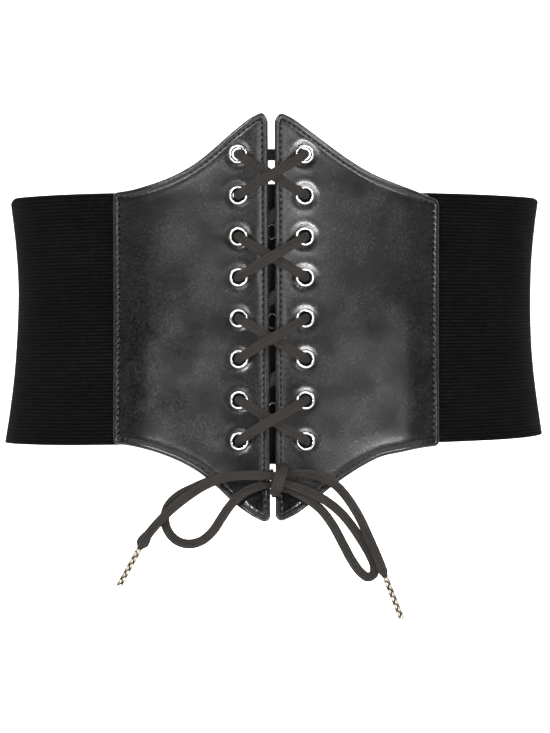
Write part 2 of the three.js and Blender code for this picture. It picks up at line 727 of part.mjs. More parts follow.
// A free cord of the bow: squeezed in the knot, swollen before a metal tip and drawn in at its end.
const bowGeometry = (name) => {
  const { steps, root, swell, tip } = BOW_SHAPES[name];
  const curve = bowCurve(name);
  const length = curve.getLength();
  const radiusAt = (share) => {
    const fromRoot = share * length;
    const fromTip = length - fromRoot;
    const near = mix(root, 1, THREE.MathUtils.smoothstep(fromRoot, CORD_DIAMETER, 2 * CORD_DIAMETER));
    const end = mix(tip, swell, THREE.MathUtils.smoothstep(fromTip, 0, CORD_DIAMETER / 2));
    const body = mix(end, near, THREE.MathUtils.smoothstep(fromTip, CORD_DIAMETER, 2 * CORD_DIAMETER));
    return (CORD_DIAMETER / 2) * body;
  };
  const last = CORD_DIAMETER / 2 / length;
  const shares = [...evenShares(steps), 1 - last, 1 - 2 * last].sort((a, b) => a - b);
  const stations = shares.map((share) => ({ point: curve.getPointAt(share), radius: radiusAt(share) }));
  return ropeGeometry(stations, CORD_SIDES);
};

// The turn of cord over the middle of the bow, its two ends tucked down to the panels.
const knotGeometry = () => {
  const stations = evenShares(KNOT_STEPS).map((share) => {
    const turn = mix(-KNOT_TUCK, Math.PI + KNOT_TUCK, share);
    const down = KNOT_HALF_HEIGHT * Math.cos(turn);
    const at = {
      x: KNOT_MIDDLE.x + KNOT_LEAN * down,
      z: KNOT_MIDDLE.z + down,
      rise: KNOT_MIDDLE.rise + KNOT_RISE * Math.sin(turn),
    };
    return {
      point: routePoint(at),
      radius: KNOT_WIDTH / 2,
      press: SIDE_AXIS,
      flat: 1,
      wide: KNOT_THICKNESS / KNOT_WIDTH,
    };
  });
  return ropeGeometry(stations, CORD_SIDES);
};

const agletGeometry = () => {
  const radius = AGLET_DIAMETER / 2;
  const neck = radius - AGLET_RIM;
  const profile = [
    [0, 0],
    [radius, 0],
    [radius, 2 * AGLET_RIM],
    [neck, 4 * AGLET_RIM],
    [neck, AGLET_LENGTH - 4 * AGLET_RIM],
    [radius, AGLET_LENGTH - 2 * AGLET_RIM],
    [radius, AGLET_LENGTH],
    [0, AGLET_LENGTH],
  ];
  return new THREE.LatheGeometry(profile.map((pair) => new THREE.Vector2(...pair)), CORD_SIDES);
};

// A metal tip that carries on from the end of its cord.
const addAglet = (side) => {
  const aglet = addPiece(`aglet_${side}`, agletGeometry(), OLD_BRASS);
  const curve = bowCurve(`bow_end_${side}`);
  const direction = curve.getTangentAt(1);
  aglet.position.copy(curve.getPointAt(1)).addScaledVector(direction, CLEARANCE);
  aglet.quaternion.setFromUnitVectors(UP_AXIS, direction);
};

addPiece('left_panel', panelGeometry('left'), LEATHER);
addPiece('right_panel', panelGeometry('right'), LEATHER);
addPiece('elastic_band', elasticGeometry(), ELASTIC);
addPiece('backing_strip', backingGeometry(), ELASTIC);
addPiece('hook_top', hookGeometry(HOOK_MIDDLE_LEVEL + HOOK_PITCH), STEEL);
addPiece('hook_middle', hookGeometry(HOOK_MIDDLE_LEVEL), STEEL);
addPiece('hook_bottom', hookGeometry(HOOK_MIDDLE_LEVEL - HOOK_PITCH), STEEL);
addEyelets('left');
addEyelets('right');
addPiece('lacing', lacingGeometry(), CORD);
addPiece('bow_knot', knotGeometry(), CORD);
Object.keys(BOW_ROUTES).forEach((name) => addPiece(name, bowGeometry(name), CORD));
addAglet('left');
addAglet('right');

export default belt;
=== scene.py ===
"""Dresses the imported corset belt: two laced leather panels, a ribbed elastic band and a bow.

Sizes and tables are in millimetres, as in the part's source, and meshes are made in metres.
"""

import logging
import math
from dataclasses import dataclass
from enum import Enum
from typing import Iterable, Optional, Sequence, Union

import bpy
import numpy as np
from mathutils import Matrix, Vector


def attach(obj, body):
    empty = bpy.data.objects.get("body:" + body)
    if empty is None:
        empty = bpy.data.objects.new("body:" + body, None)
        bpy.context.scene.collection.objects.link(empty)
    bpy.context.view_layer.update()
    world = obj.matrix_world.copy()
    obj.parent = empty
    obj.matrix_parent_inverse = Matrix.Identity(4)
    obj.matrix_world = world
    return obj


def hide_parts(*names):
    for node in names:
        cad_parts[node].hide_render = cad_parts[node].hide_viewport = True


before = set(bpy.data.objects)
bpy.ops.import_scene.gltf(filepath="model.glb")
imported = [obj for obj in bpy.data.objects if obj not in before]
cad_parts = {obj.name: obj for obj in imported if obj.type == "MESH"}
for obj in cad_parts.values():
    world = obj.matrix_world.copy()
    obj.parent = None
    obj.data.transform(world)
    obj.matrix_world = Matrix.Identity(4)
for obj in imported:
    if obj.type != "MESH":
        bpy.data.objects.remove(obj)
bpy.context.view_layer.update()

MM = 0.001
log = logging.getLogger("belt")

Socket = bpy.types.NodeSocket
Value = Union[Socket, float, tuple, str]


class Side(Enum):
    """A side of the belt as the viewer sees it."""

    LEFT = "left"
    RIGHT = "right"

    @property
    def sign(self) -> int:
        """Returns -1 on the left and 1 on the right."""
        return -1 if self is Side.LEFT else 1

    @property
    def other(self) -> "Side":
        """Returns the side across the gap."""
        return Side.RIGHT if self is Side.LEFT else Side.LEFT


class Slot(Enum):
    """The record's material slots."""

    LEATHER = "leather"
    ELASTIC = "elastic"
    CORD = "cord"
    NICKEL = "nickel"
    STEEL = "steel"
    OLD_BRASS = "old_brass"


# Nodes and materials


def linear(hex_colour: str) -> tuple:
    """Turns an sRGB hex colour into linear red, green, blue and full alpha."""
    parts = [int(hex_colour[start:start + 2], 16) / 255 for start in (1, 3, 5)]
    return (*(p / 12.92 if p <= 0.04045 else ((p + 0.055) / 1.055) ** 2.4 for p in parts), 1.0)


def add_node(tree: bpy.types.NodeTree, kind: str, inputs: Optional[dict] = None,
             **settings) -> bpy.types.Node:
    """Adds one node.

    Args:
        tree: The tree that it goes into.
        kind: The node's type.
        inputs: Values or sockets to link, by the input's name or number.
        **settings: The node's own properties.

    Returns:
        The new node.
    """
    node = tree.nodes.new(kind)
    for key, value in settings.items():
        setattr(node, key, value)
    for key, value in (inputs or {}).items():
        socket = node.inputs[key]
        if isinstance(value, Socket):
            tree.links.new(value, socket)
        else:
            socket.default_value = value
    return node


class Tree:
    """A node tree, and the plain nodes that every tree here needs."""

    def __init__(self, tree: bpy.types.NodeTree) -> None:
        """Takes the tree that the nodes go into."""
        self.tree = tree

    def node(self, kind: str, inputs: Optional[dict] = None, **settings) -> bpy.types.Node:
        """Adds a node to the tree."""
        return add_node(self.tree, kind, inputs, **settings)

    def maths(self, operation: str, *values: Value, clamp: bool = False) -> Socket:
        """Adds a Math node on the given values and returns its output."""
        made = self.node("ShaderNodeMath", dict(enumerate(values)), operation=operation, use_clamp=clamp)
        return made.outputs[0]

    def plus(self, first: Value, second: Value) -> Socket:
        """Returns the sum of two values."""
        return self.maths("ADD", first, second)

    def times(self, first: Value, second: Value) -> Socket:
        """Returns the product of two values."""
        return self.maths("MULTIPLY", first, second)

    def span(self, value: Socket, low: float, high: float, to_low: float = 0.0,
             to_high: float = 1.0) -> Socket:
        """Returns a value stretched from one range to another, held at its ends."""
        return self.node("ShaderNodeMapRange", {0: value, 1: low, 2: high, 3: to_low, 4: to_high}).outputs[0]


class Paint(Tree):
    """A material's tree, and the shader that it ends in."""

    def __init__(self, material: bpy.types.Material, values: dict) -> None:
        """Starts with the shader, its plain values and the output."""
        material.use_nodes = True
        super().__init__(material.node_tree)
        self.tree.nodes.clear()
        self.shader = self.node("ShaderNodeBsdfPrincipled", values)
        self.node("ShaderNodeOutputMaterial", {"Surface": self.shader.outputs[0]})

    def set(self, name: str, value: Socket) -> None:
        """Links a value to one of the shader's inputs."""
        self.tree.links.new(value, self.shader.inputs[name])

    def place(self) -> Socket:
        """Returns the point in the piece's own metres."""
        return self.node("ShaderNodeTexCoord").outputs["Object"]

    def run(self) -> tuple:
        """Returns the two parts of the piece's own map, in ribs or millimetres."""
        run = self.node("ShaderNodeUVMap", uv_map="run").outputs[0]
        parts = self.node("ShaderNodeSeparateXYZ", {0: run})
        return parts.outputs[0], parts.outputs[1]

    def attribute(self, name: str) -> Socket:
        """Returns a value that the mesh holds for each vertex."""
        return self.node("ShaderNodeAttribute", attribute_name=name).outputs["Fac"]

    def noise(self, size: float, detail: float = 3.0) -> Socket:
        """Returns cloudy noise whose lumps are about size millimetres."""
        inputs = {"Vector": self.place(), "Scale": 1 / (size * MM), "Detail": detail}
        return self.node("ShaderNodeTexNoise", inputs).outputs[0]

    def wave(self, value: Socket, length: float) -> Socket:
        """Returns a sine that repeats after a length."""
        return self.maths("SINE", self.times(value, 2 * math.pi / length))

    def blend(self, share: Value, first: Value, second: Value) -> Socket:
        """Returns a mix of two colours, each an sRGB hex colour or a socket."""
        node = self.node("ShaderNodeMix", {"Factor": share}, data_type="RGBA")
        colours = [socket for socket in node.inputs if socket.type == "RGBA"]
        for socket, value in zip(colours, (first, second)):
            if isinstance(value, str):
                socket.default_value = linear(value)
            else:
                self.tree.links.new(value, socket)
        return next(socket for socket in node.outputs if socket.type == "RGBA")

    def colour(self, share: Value, first: Value, second: Value) -> None:
        """Gives the shader a mix of two colours."""
        self.set("Base Color", self.blend(share, first, second))

    def bump(self, height: Socket, depth: float, strength: float) -> None:
        """Gives the shader relief whose full height is depth millimetres."""
        inputs = {"Strength": strength, "Distance": depth * MM, "Height": height}
        self.set("Normal", self.node("ShaderNodeBump", inputs).outputs[0])


@dataclass(frozen=True)
class Finish:
    """A procedural finish with the plain values that its shader holds."""

    name: str
    roughness: float = 0.5
    metallic: float = 0.0
    specular: float = 0.5
    sheen: float = 0.0

    def material(self) -> bpy.types.Material:
        """Returns the finish's material, made the first time that it is asked for."""
        found = bpy.data.materials.get(self.name)
        if found:
            return found
        made = bpy.data.materials.new(self.name)
        values = {"Roughness": self.roughness, "Metallic": self.metallic, "Sheen Weight": self.sheen}
        if not self.metallic:
            values["Specular IOR Level"] = self.specular
        self.dress(Paint(made, values))
        return made

    def dress(self, paint: Paint) -> None:
        """Adds the finish's own nodes; each finish has its own."""


@dataclass(frozen=True)
class Leather(Finish):
    """Coated split leather, rolled smooth: a fine even grain under a satin coat, with a painted highlight along
    the rolled rim.
    """

    mottling: float = 16.0
    grain: float = 0.9
    grain_share: float = 0.75
    grain_relief: float = 0.05
    dark: str = "#030303"
    light: str = "#1b1b1c"
    # The paler colour of the painted highlight along the rim.
    rim_highlight_colour: str = "#2a2a2b"

    def dress(self, paint: Paint) -> None:
        """Adds the grain, the soft mottling, the painted highlight along the rim and the dull seams."""
        broad = paint.noise(self.mottling)
        fine = paint.noise(self.grain)
        shade = paint.plus(paint.span(broad, 0.35, 0.65, 0.0, 1 - self.grain_share),
                           paint.span(fine, 0.4, 0.62, 0.0, self.grain_share))
        mottled = paint.blend(shade, self.dark, self.light)
        # The outer face's rolled rim is mixed towards a paler colour: painted highlight.
        paint.colour(paint.times(paint.attribute("rub"), fine), mottled, self.rim_highlight_colour)
        cloudy = paint.span(broad, 0.3, 0.7, self.roughness - 0.02, self.roughness + 0.05)
        grainy = paint.span(fine, 0.35, 0.65, -0.012, 0.016)
        paint.set("Roughness", paint.plus(paint.plus(cloudy, paint.attribute("dull")), grainy))
        paint.bump(fine, self.grain_relief, 0.5)


@dataclass(frozen=True)
class RibbedElastic(Finish):
    """Woven elastic webbing: matt yarn with fine picks across every rib, its colour darker in the hollows
    between the ribs as painted shade.
    """

    pick: float = 0.62
    warp: float = 0.75
    fuzz: float = 0.9
    relief: float = 0.12
    dark: str = "#020202"
    light: str = "#131313"

    def dress(self, paint: Paint) -> None:
        """Adds the picks across the ribs, the warp along them, a little uneven dye, and painted shade in the
        hollows between the ribs.
        """
        along, across = paint.run()
        weave = paint.plus(paint.times(paint.wave(across, self.pick), 0.5),
                           paint.times(paint.wave(along, self.warp), 0.25))
        uneven = paint.times(paint.span(paint.noise(22.0), 0.3, 0.7, 0.6, 1.0),
                             paint.span(paint.noise(2.2), 0.3, 0.65, 0.35, 1.0))
        # The colour follows the rib share: light on the crests, dark in the hollows and at the plain edges,
        # which is painted shade.
        paint.colour(paint.times(uneven, paint.attribute("rib")), self.dark, self.light)
        paint.bump(paint.plus(weave, paint.times(paint.noise(self.fuzz), 0.8)), self.relief, 0.6)


@dataclass(frozen=True)
class BraidedCord(Finish):
    """Braided polyester cord: plaited strands that catch the light as rows of small chevrons, its colour darker
    in the grooves between them as painted shade.
    """

    stroke: float = 1.9
    slope: float = 1.3
    rib_reach: float = 0.38
    relief: float = 0.2
    # The colour in the grooves between ribs and strands: painted shade.
    dark: str = "#030303"
    light: str = "#3a332e"

    def dress(self, paint: Paint) -> None:
        """Adds a chevron to every rib of the braid and loose fibres over them, and darkens the colour where
        they lie low: painted shade.
        """
        rib, along = paint.run()
        from_middle = paint.maths("ABSOLUTE", paint.maths("SUBTRACT", paint.maths("FRACT", rib), 0.5))
        slant = paint.plus(paint.maths("DIVIDE", along, self.stroke), paint.times(from_middle, self.slope))
        strand = paint.plus(paint.times(paint.span(paint.wave(slant, 1.0), -1.0, 1.0), 0.35), 0.65)
        dome = paint.span(from_middle, 0.0, self.rib_reach, 1.0, 0.0)
        height = paint.plus(paint.times(strand, dome), paint.times(paint.noise(0.5), 0.3))
        uneven = paint.span(paint.noise(7.0, 2.0), 0.3, 0.7, 0.7, 1.0)
        # The colour follows the height: dark in the grooves between ribs and strands, which is painted shade;
        # the uneven noise is random tone.
        paint.colour(paint.times(paint.span(height, 0.1, 1.15), uneven), self.dark, self.light)
        paint.bump(height, self.relief, 0.9)


@dataclass(frozen=True)
class WovenTape(Finish):
    """Plain woven polyester tape: a fine over-and-under weave, drawn a little coarser than life, its colour
    darker where the weave lies low as painted shade.
    """

    thread: float = 0.6
    relief: float = 0.1
    dark: str = "#0b0b0b"
    light: str = "#1d1d1d"

    def dress(self, paint: Paint) -> None:
        """Adds the over-and-under weave, and darkens the colour where it lies low: painted shade."""
        weave = paint.times(*(paint.wave(part, self.thread) for part in paint.run()))
        height = paint.plus(paint.span(weave, -1.0, 1.0), paint.times(paint.noise(0.8, 2.0), 0.4))
        # The colour follows the weave's height: darker in its hollows, which is painted shade.
        paint.colour(paint.span(height, 0.1, 1.3), self.dark, self.light)
        paint.bump(height, self.relief, 0.7)


@dataclass(frozen=True)
class SewingThread(Finish):
    """Bonded sewing thread: two tight plies, matt and dark."""

    fibre: float = 0.35
    relief: float = 0.06
    dark: str = "#060606"
    light: str = "#1d1d1f"

    def dress(self, paint: Paint) -> None:
        """Adds the twist of the plies as fine noise."""
        fibre = paint.noise(self.fibre)
        paint.colour(fibre, self.dark, self.light)
        paint.bump(fibre, self.relief, 0.6)


@dataclass(frozen=True)
class PolishedMetal(Finish):
    """Plated and polished metal: bright, with the faint haze of handling."""

    cloud: float = 5.0
    colour: str = "#d9d8d5"
    hazed: str = "#b9b8b6"

    def dress(self, paint: Paint) -> None:
        """Adds the haze to the colour and the gloss."""
        haze = paint.noise(self.cloud)
        paint.colour(paint.span(haze, 0.4, 0.8), self.colour, self.hazed)
        paint.set("Roughness", paint.span(haze, 0.3, 0.8, self.roughness - 0.03, self.roughness + 0.05))


@dataclass(frozen=True)
class AntiqueBrass(Finish):
    """Pressed and antiqued brass: dark patina in the grooves, rubbed bright on the raised diamonds."""

    spot: float = 0.8
    relief: float = 0.04
    patina_roughness: float = 0.6
    bright: str = "#bdb5a5"
    patina: str = "#0b0a07"

    def dress(self, paint: Paint) -> None:
        """Adds patina by the height of the relief, broken up by noise."""
        spots = paint.noise(self.spot)
        raised = paint.times(paint.attribute("raised"), 1.25)
        share = paint.maths("SUBTRACT", raised, paint.times(spots, 0.35), clamp=True)
        paint.colour(share, self.patina, self.bright)
        paint.set("Roughness", paint.span(share, 0.0, 1.0, self.patina_roughness, self.roughness))
        paint.bump(spots, self.relief, 0.4)


@dataclass(frozen=True)
class StudioPaper(Finish):
    """Matt white background paper."""

    colour: str = "#f4f4f4"
    shaded: str = "#ececec"
    glow: float = 0.85
    glow_from: float = 0.2
    glow_full: float = 1.1

    def dress(self, paint: Paint) -> None:
        """Adds the paper's faint tooth, and a faint glow behind the belt so that it stays white."""
        paint.colour(paint.noise(400.0, 2.0), self.colour, self.shaded)
        depth = paint.node("ShaderNodeSeparateXYZ", {0: paint.place()}).outputs[1]
        paint.shader.inputs["Emission Color"].default_value = linear("#ffffff")
        paint.set("Emission Strength", paint.span(depth, self.glow_from, self.glow_full, 0.0, self.glow))


COATED_LEATHER = Leather("Leather_coated_smooth", roughness=0.2, specular=0.35)
ELASTIC_WEBBING = RibbedElastic("Elastic_webbing_woven", roughness=0.9, specular=0.025)
POLYESTER_CORD = BraidedCord("Polyester_cord_braided", roughness=0.7, specular=0.26)
POLYESTER_TAPE = WovenTape("Polyester_tape_woven", roughness=0.85, specular=0.2, sheen=0.05)
BONDED_THREAD = SewingThread("Polyester_thread_bonded", roughness=0.85, specular=0.03)
POLISHED_NICKEL = PolishedMetal("Nickel_plated_polished", roughness=0.24, metallic=1.0)
BRIGHT_STEEL = PolishedMetal("Steel_wire_bright", roughness=0.18, metallic=1.0,
                             colour="#606063", hazed="#3e3e40")
OLD_BRASS = AntiqueBrass("Brass_pressed_antique", roughness=0.3, metallic=1.0)
WHITE_PAPER = StudioPaper("Paper_matt_white", roughness=0.95, specular=0.1)


# Meshes


def add_object(name: str, data: bpy.types.ID) -> bpy.types.Object:
    """Makes an object that holds the data, and links it to the scene."""
    made = bpy.data.objects.new(name, data)
    bpy.context.scene.collection.objects.link(made)
    return made


def make_object(name: str, points: np.ndarray, faces: Sequence, finish: Finish,
                corner_uv: Optional[np.ndarray] = None, values: Optional[dict] = None) -> bpy.types.Object:
    """Makes a smooth mesh object from points in millimetres.

    Args:
        name: The object's name.
        points: One row for each vertex.
        faces: The vertex numbers of each face.
        finish: The finish of the whole piece.
        corner_uv: The UV of each face corner, in the faces' order.
        values: Numbers or directions kept for each vertex, by name.

    Returns:
        The object, linked to the scene, at the origin.
    """
    mesh = bpy.data.meshes.new(name)
    listed = faces.tolist() if isinstance(faces, np.ndarray) else [list(map(int, face)) for face in faces]
    mesh.from_pydata((np.asarray(points) * MM).tolist(), [], listed)
    if corner_uv is not None:
        layer = mesh.uv_layers.new(name="run")
        layer.data.foreach_set("uv", np.asarray(corner_uv, dtype=np.float32).ravel())
    for key, array in (values or {}).items():
        kind, field = ("FLOAT_VECTOR", "vector") if array.ndim == 2 else ("FLOAT", "value")
        store = mesh.attributes.new(key, kind, "POINT")
        store.data.foreach_set(field, array.astype(np.float32).ravel())
    mesh.polygons.foreach_set("use_smooth", np.ones(len(mesh.polygons), dtype=bool))
    mesh.materials.append(finish.material())
    mesh.update()
    return add_object(name, mesh)


def wear(piece: bpy.types.Object, slot: Slot, *nodes: str) -> bpy.types.Object:
    """Fixes a piece to the belt in place of its CAD nodes, and reports it."""
    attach(piece, "root")
    if nodes:
        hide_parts(*nodes)
    piece.data.calc_loop_triangles()
    log.info("%s: %d triangles", piece.name, len(piece.data.loop_triangles))
    return piece


# The faces of a wall's cell by the neighbour that they look to, the first two to the outside and the
# inside. Each corner is its layer (the inner is 0), its step to the right and its step up.
WALL_FACES = {
    (0, 0): (((1, 0, 0), (1, 1, 0), (1, 1, 1), (1, 0, 1)), ((0, 0, 0), (0, 0, 1), (0, 1, 1), (0, 1, 0))),
    (0, -1): (((0, 0, 0), (0, 1, 0), (1, 1, 0), (1, 0, 0)),),
    (0, 1): (((1, 0, 1), (1, 1, 1), (0, 1, 1), (0, 0, 1)),),
    (-1, 0): (((0, 0, 0), (1, 0, 0), (1, 0, 1), (0, 0, 1)),),
    (1, 0): (((1, 1, 0), (0, 1, 0), (0, 1, 1), (1, 1, 1)),),
}


def wall_quads(columns: int, rows: int, keep: Optional[np.ndarray] = None) -> np.ndarray:
    """Lists the faces of a closed wall between an inner grid and an outer grid.

    Args:
        columns: Vertices across, from left to right as seen from outside.
        rows: Vertices up.
        keep: Which cells exist; a cell that doesn't is a hole with walls round it.

    Returns:
        Four vertex numbers a face. The inner grid's vertices come first, column by column.
    """
    if keep is None:
        keep = np.ones((columns - 1, rows - 1), dtype=bool)
    i, j = np.nonzero(keep)
    padded = np.pad(keep, 1)
    found = []
    for (right, up), corners in WALL_FACES.items():
        bare = ~padded[i + 1 + right, j + 1 + up] if right or up else np.ones(len(i), dtype=bool)
        a, b = i[bare], j[bare]
        found += [np.stack([(layer * columns + a + p) * rows + b + q for layer, p, q in face], axis=1)
                  for face in corners]
    return np.concatenate(found)


def make_wall(name: str, inner: np.ndarray, outer: np.ndarray, finish: Finish, uv: Optional[np.ndarray] = None,
              values: Optional[dict] = None, keep: Optional[np.ndarray] = None) -> bpy.types.Object:
    """Makes a closed wall between an inner and an outer face.

    Args:
        name: The object's name.
        inner: The inner face's points in millimetres, as a grid of columns by rows.
        outer: The outer face's points, in the same grid.
        finish: The finish of the whole wall.
        uv: The UV of both faces at each point of the grid.
        values: The inner and the outer face's grid of each value that the vertices keep, by name.
        keep: Which cells exist.

    Returns:
        The object, without the vertices that no face uses.
    """
    faces = wall_quads(*inner.shape[:2], keep)
    corner_uv = None if uv is None else np.tile(uv.reshape(-1, 2), (2, 1))[faces.ravel()]
    used, numbered = np.unique(faces, return_inverse=True)
    points = np.concatenate([inner.reshape(-1, 3), outer.reshape(-1, 3)])[used]
    kept = {key: np.concatenate([grid.reshape(-1, *grid.shape[2:]) for grid in pair])[used]
            for key, pair in (values or {}).items()}
    return make_object(name, points, numbered.reshape(faces.shape), finish, corner_uv, kept)


def smooth_line(points: np.ndarray, spacing: float) -> tuple:
    """Runs a centripetal Catmull-Rom line through points.

    Args:
        points: The points that it passes through.
        spacing: About how far apart the new points lie.

    Returns:
        The new points, and for each the number of the old point that it lies at, with a fraction.
    """
    first = 2 * points[0] - points[1]
    last = 2 * points[-1] - points[-2]
    padded = np.vstack([first, points, last])
    made, places = [], []
    for index in range(len(points) - 1):
        p0, p1, p2, p3 = padded[index:index + 4]
        gaps = [max(np.linalg.norm(b - a) ** 0.5, 1e-4) for a, b in ((p0, p1), (p1, p2), (p2, p3))]
        slope1 = ((p1 - p0) / gaps[0] - (p2 - p0) / (gaps[0] + gaps[1]) + (p2 - p1) / gaps[1]) * gaps[1]
        slope2 = ((p2 - p1) / gaps[1] - (p3 - p1) / (gaps[1] + gaps[2]) + (p3 - p2) / gaps[2]) * gaps[1]
        steps = max(2, int(np.ceil(np.linalg.norm(p2 - p1) / spacing)))
        t = np.linspace(0, 1, steps, endpoint=False)[:, None]
        made.append((2 * t ** 3 - 3 * t ** 2 + 1) * p1 + (t ** 3 - 2 * t ** 2 + t) * slope1
                    + (3 * t ** 2 - 2 * t ** 3) * p2 + (t ** 3 - t ** 2) * slope2)
        places.append(index + t[:, 0])
    made.append(points[-1:])
    places.append(np.array([len(points) - 1.0]))
    return np.concatenate(made), np.concatenate(places)


def arc_lengths(points: np.ndarray) -> np.ndarray:
    """Returns the distance along a line at each of its points."""
    steps = np.linalg.norm(np.diff(points, axis=0), axis=1)
    return np.concatenate([[0.0], np.cumsum(steps)])


@dataclass
class Tube:
    """A rope along a line, round or pressed flat along a direction, ribbed like a braid or plain.

    Attributes:
        points: The line, in millimetres.
        radius: The radius at each point.
        sides: Faces round it.
        ribs: Ribs of the braid round it, or 0.
        rib_depth: How far the hollows between the ribs lie below them, as a share of the radius.
        press: The direction that each point's section is pressed along.
        flat: The section's factor along that direction.
        wide: The section's factor across it.
        closed: Whether the line is a ring.
    """

    points: np.ndarray
    radius: np.ndarray
    sides: int
    ribs: int
    rib_depth: float = 0.15
    press: Optional[np.ndarray] = None
    flat: Optional[np.ndarray] = None
    wide: Optional[np.ndarray] = None
    closed: bool = False

    def frames(self) -> tuple:
        """Returns the tangent and two cross directions at each point, carried on without twist."""
        if self.closed:
            tangents = np.roll(self.points, -1, axis=0) - np.roll(self.points, 1, axis=0)
        else:
            tangents = np.gradient(self.points, axis=0)
        tangents /= np.linalg.norm(tangents, axis=1, keepdims=True)
        normals = np.empty_like(tangents)
        carried = np.cross([0.0, 0.0, 1.0], tangents[0])
        if np.dot(carried, carried) < 0.01:
            carried = np.cross([1.0, 0.0, 0.0], tangents[0])
        for index, tangent in enumerate(tangents):
            carried = carried - np.dot(carried, tangent) * tangent
            carried /= np.linalg.norm(carried)
            normals[index] = carried
        return tangents, normals, np.cross(tangents, normals)

    def build(self) -> tuple:
        """Returns the vertices, the faces and the UV of each face corner."""
        tangents, normals, binormals = self.frames()
        turn = np.arange(self.sides) / self.sides * 2 * np.pi
        dip = self.rib_depth * (0.5 + 0.5 * np.cos(self.ribs * turn)) if self.ribs else np.zeros(self.sides)
        reach = self.radius[:, None] * (1 - dip)[None, :]
        offset = (normals[:, None] * np.cos(turn)[None, :, None]
                  + binormals[:, None] * np.sin(turn)[None, :, None]) * reach[..., None]
        if self.press is not None:
            pressed = self.press - np.sum(self.press * tangents, axis=1, keepdims=True) * tangents
            pressed /= np.linalg.norm(pressed, axis=1, keepdims=True)
            spread = np.cross(tangents, pressed)
            along = np.sum(offset * pressed[:, None], axis=2, keepdims=True)
            sideways = np.sum(offset * spread[:, None], axis=2, keepdims=True)
            offset = (offset + (self.flat - 1)[:, None, None] * along * pressed[:, None]
                      + (self.wide - 1)[:, None, None] * sideways * spread[:, None])
        rings = self.points[:, None] + offset
        return self.skin(rings)

    def skin(self, rings: np.ndarray) -> tuple:
        """Joins rings of points into a closed tube."""
        count, sides = rings.shape[:2]
        vertices = rings.reshape(-1, 3)
        spans = count if self.closed else count - 1
        ring, side = (grid.ravel() for grid in np.meshgrid(np.arange(spans), np.arange(sides), indexing="ij"))
        after, turned = (ring + 1) % count, (side + 1) % sides
        here, ahead = ring * sides, after * sides
        faces = np.stack([here + side, here + turned, ahead + turned, ahead + side], axis=1).tolist()
        run = arc_lengths(np.vstack([self.points, self.points[:1]]) if self.closed else self.points)
        ribs = self.ribs or 1
        u0, u1 = side / sides * ribs, (side + 1) / sides * ribs
        v0, v1 = run[ring], run[ring + 1]
        corners = ((u0, v0), (u1, v0), (u1, v1), (u0, v1))
        corner_uv = np.stack([np.stack(corner, 1) for corner in corners], 1).reshape(-1, 2)
        if not self.closed:
            last = (count - 1) * sides
            faces.append(list(range(sides))[::-1])
            faces.append(list(range(last, last + sides)))
            corner_uv = np.concatenate([corner_uv, np.zeros((2 * sides, 2))])
        return vertices, faces, corner_uv


class NodeTool(Tree):
    """Runs a Geometry Nodes tree on an object and keeps the result as a plain mesh."""

    def __init__(self, name: str) -> None:
        """Starts a tree with one geometry going in and one coming out."""
        super().__init__(bpy.data.node_groups.new(name, "GeometryNodeTree"))
        self.socket("Geometry", "NodeSocketGeometry")
        self.tree.interface.new_socket("Geometry", in_out="OUTPUT", socket_type="NodeSocketGeometry")

    def socket(self, name: str, kind: str) -> None:
        """Adds a named input."""
        self.tree.interface.new_socket(name, in_out="INPUT", socket_type=kind)

    def attribute(self, name: str, kind: str) -> Socket:
        """Returns a value that the mesh holds for each vertex."""
        node = self.node("GeometryNodeInputNamedAttribute", data_type=kind)
        node.inputs["Name"].default_value = name
        return node.outputs["Attribute"]

    def finish(self, geometry: Socket, material: Socket) -> None:
        """Ends the tree in Realize Instances and Set Material."""
        real = self.node("GeometryNodeRealizeInstances", {0: geometry})
        dressed = self.node("GeometryNodeSetMaterial", {"Geometry": real.outputs[0], "Material": material})
        self.node("NodeGroupOutput", {0: dressed.outputs[0]})

    def run(self, target: bpy.types.Object, **values) -> None:
        """Sets the inputs by their identifiers, runs the tree and keeps the mesh."""
        modifier = target.modifiers.new("Pattern", "NODES")
        modifier.node_group = self.tree
        for item in self.tree.interface.items_tree:
            key = item.name.replace(" ", "_").lower()
            if item.in_out == "INPUT" and key in values:
                modifier[item.identifier] = values[key]
        graph = bpy.context.evaluated_depsgraph_get()
        mesh = bpy.data.meshes.new_from_object(target.evaluated_get(graph))
        mesh.name = target.name
        target.modifiers.clear()
        target.data = mesh


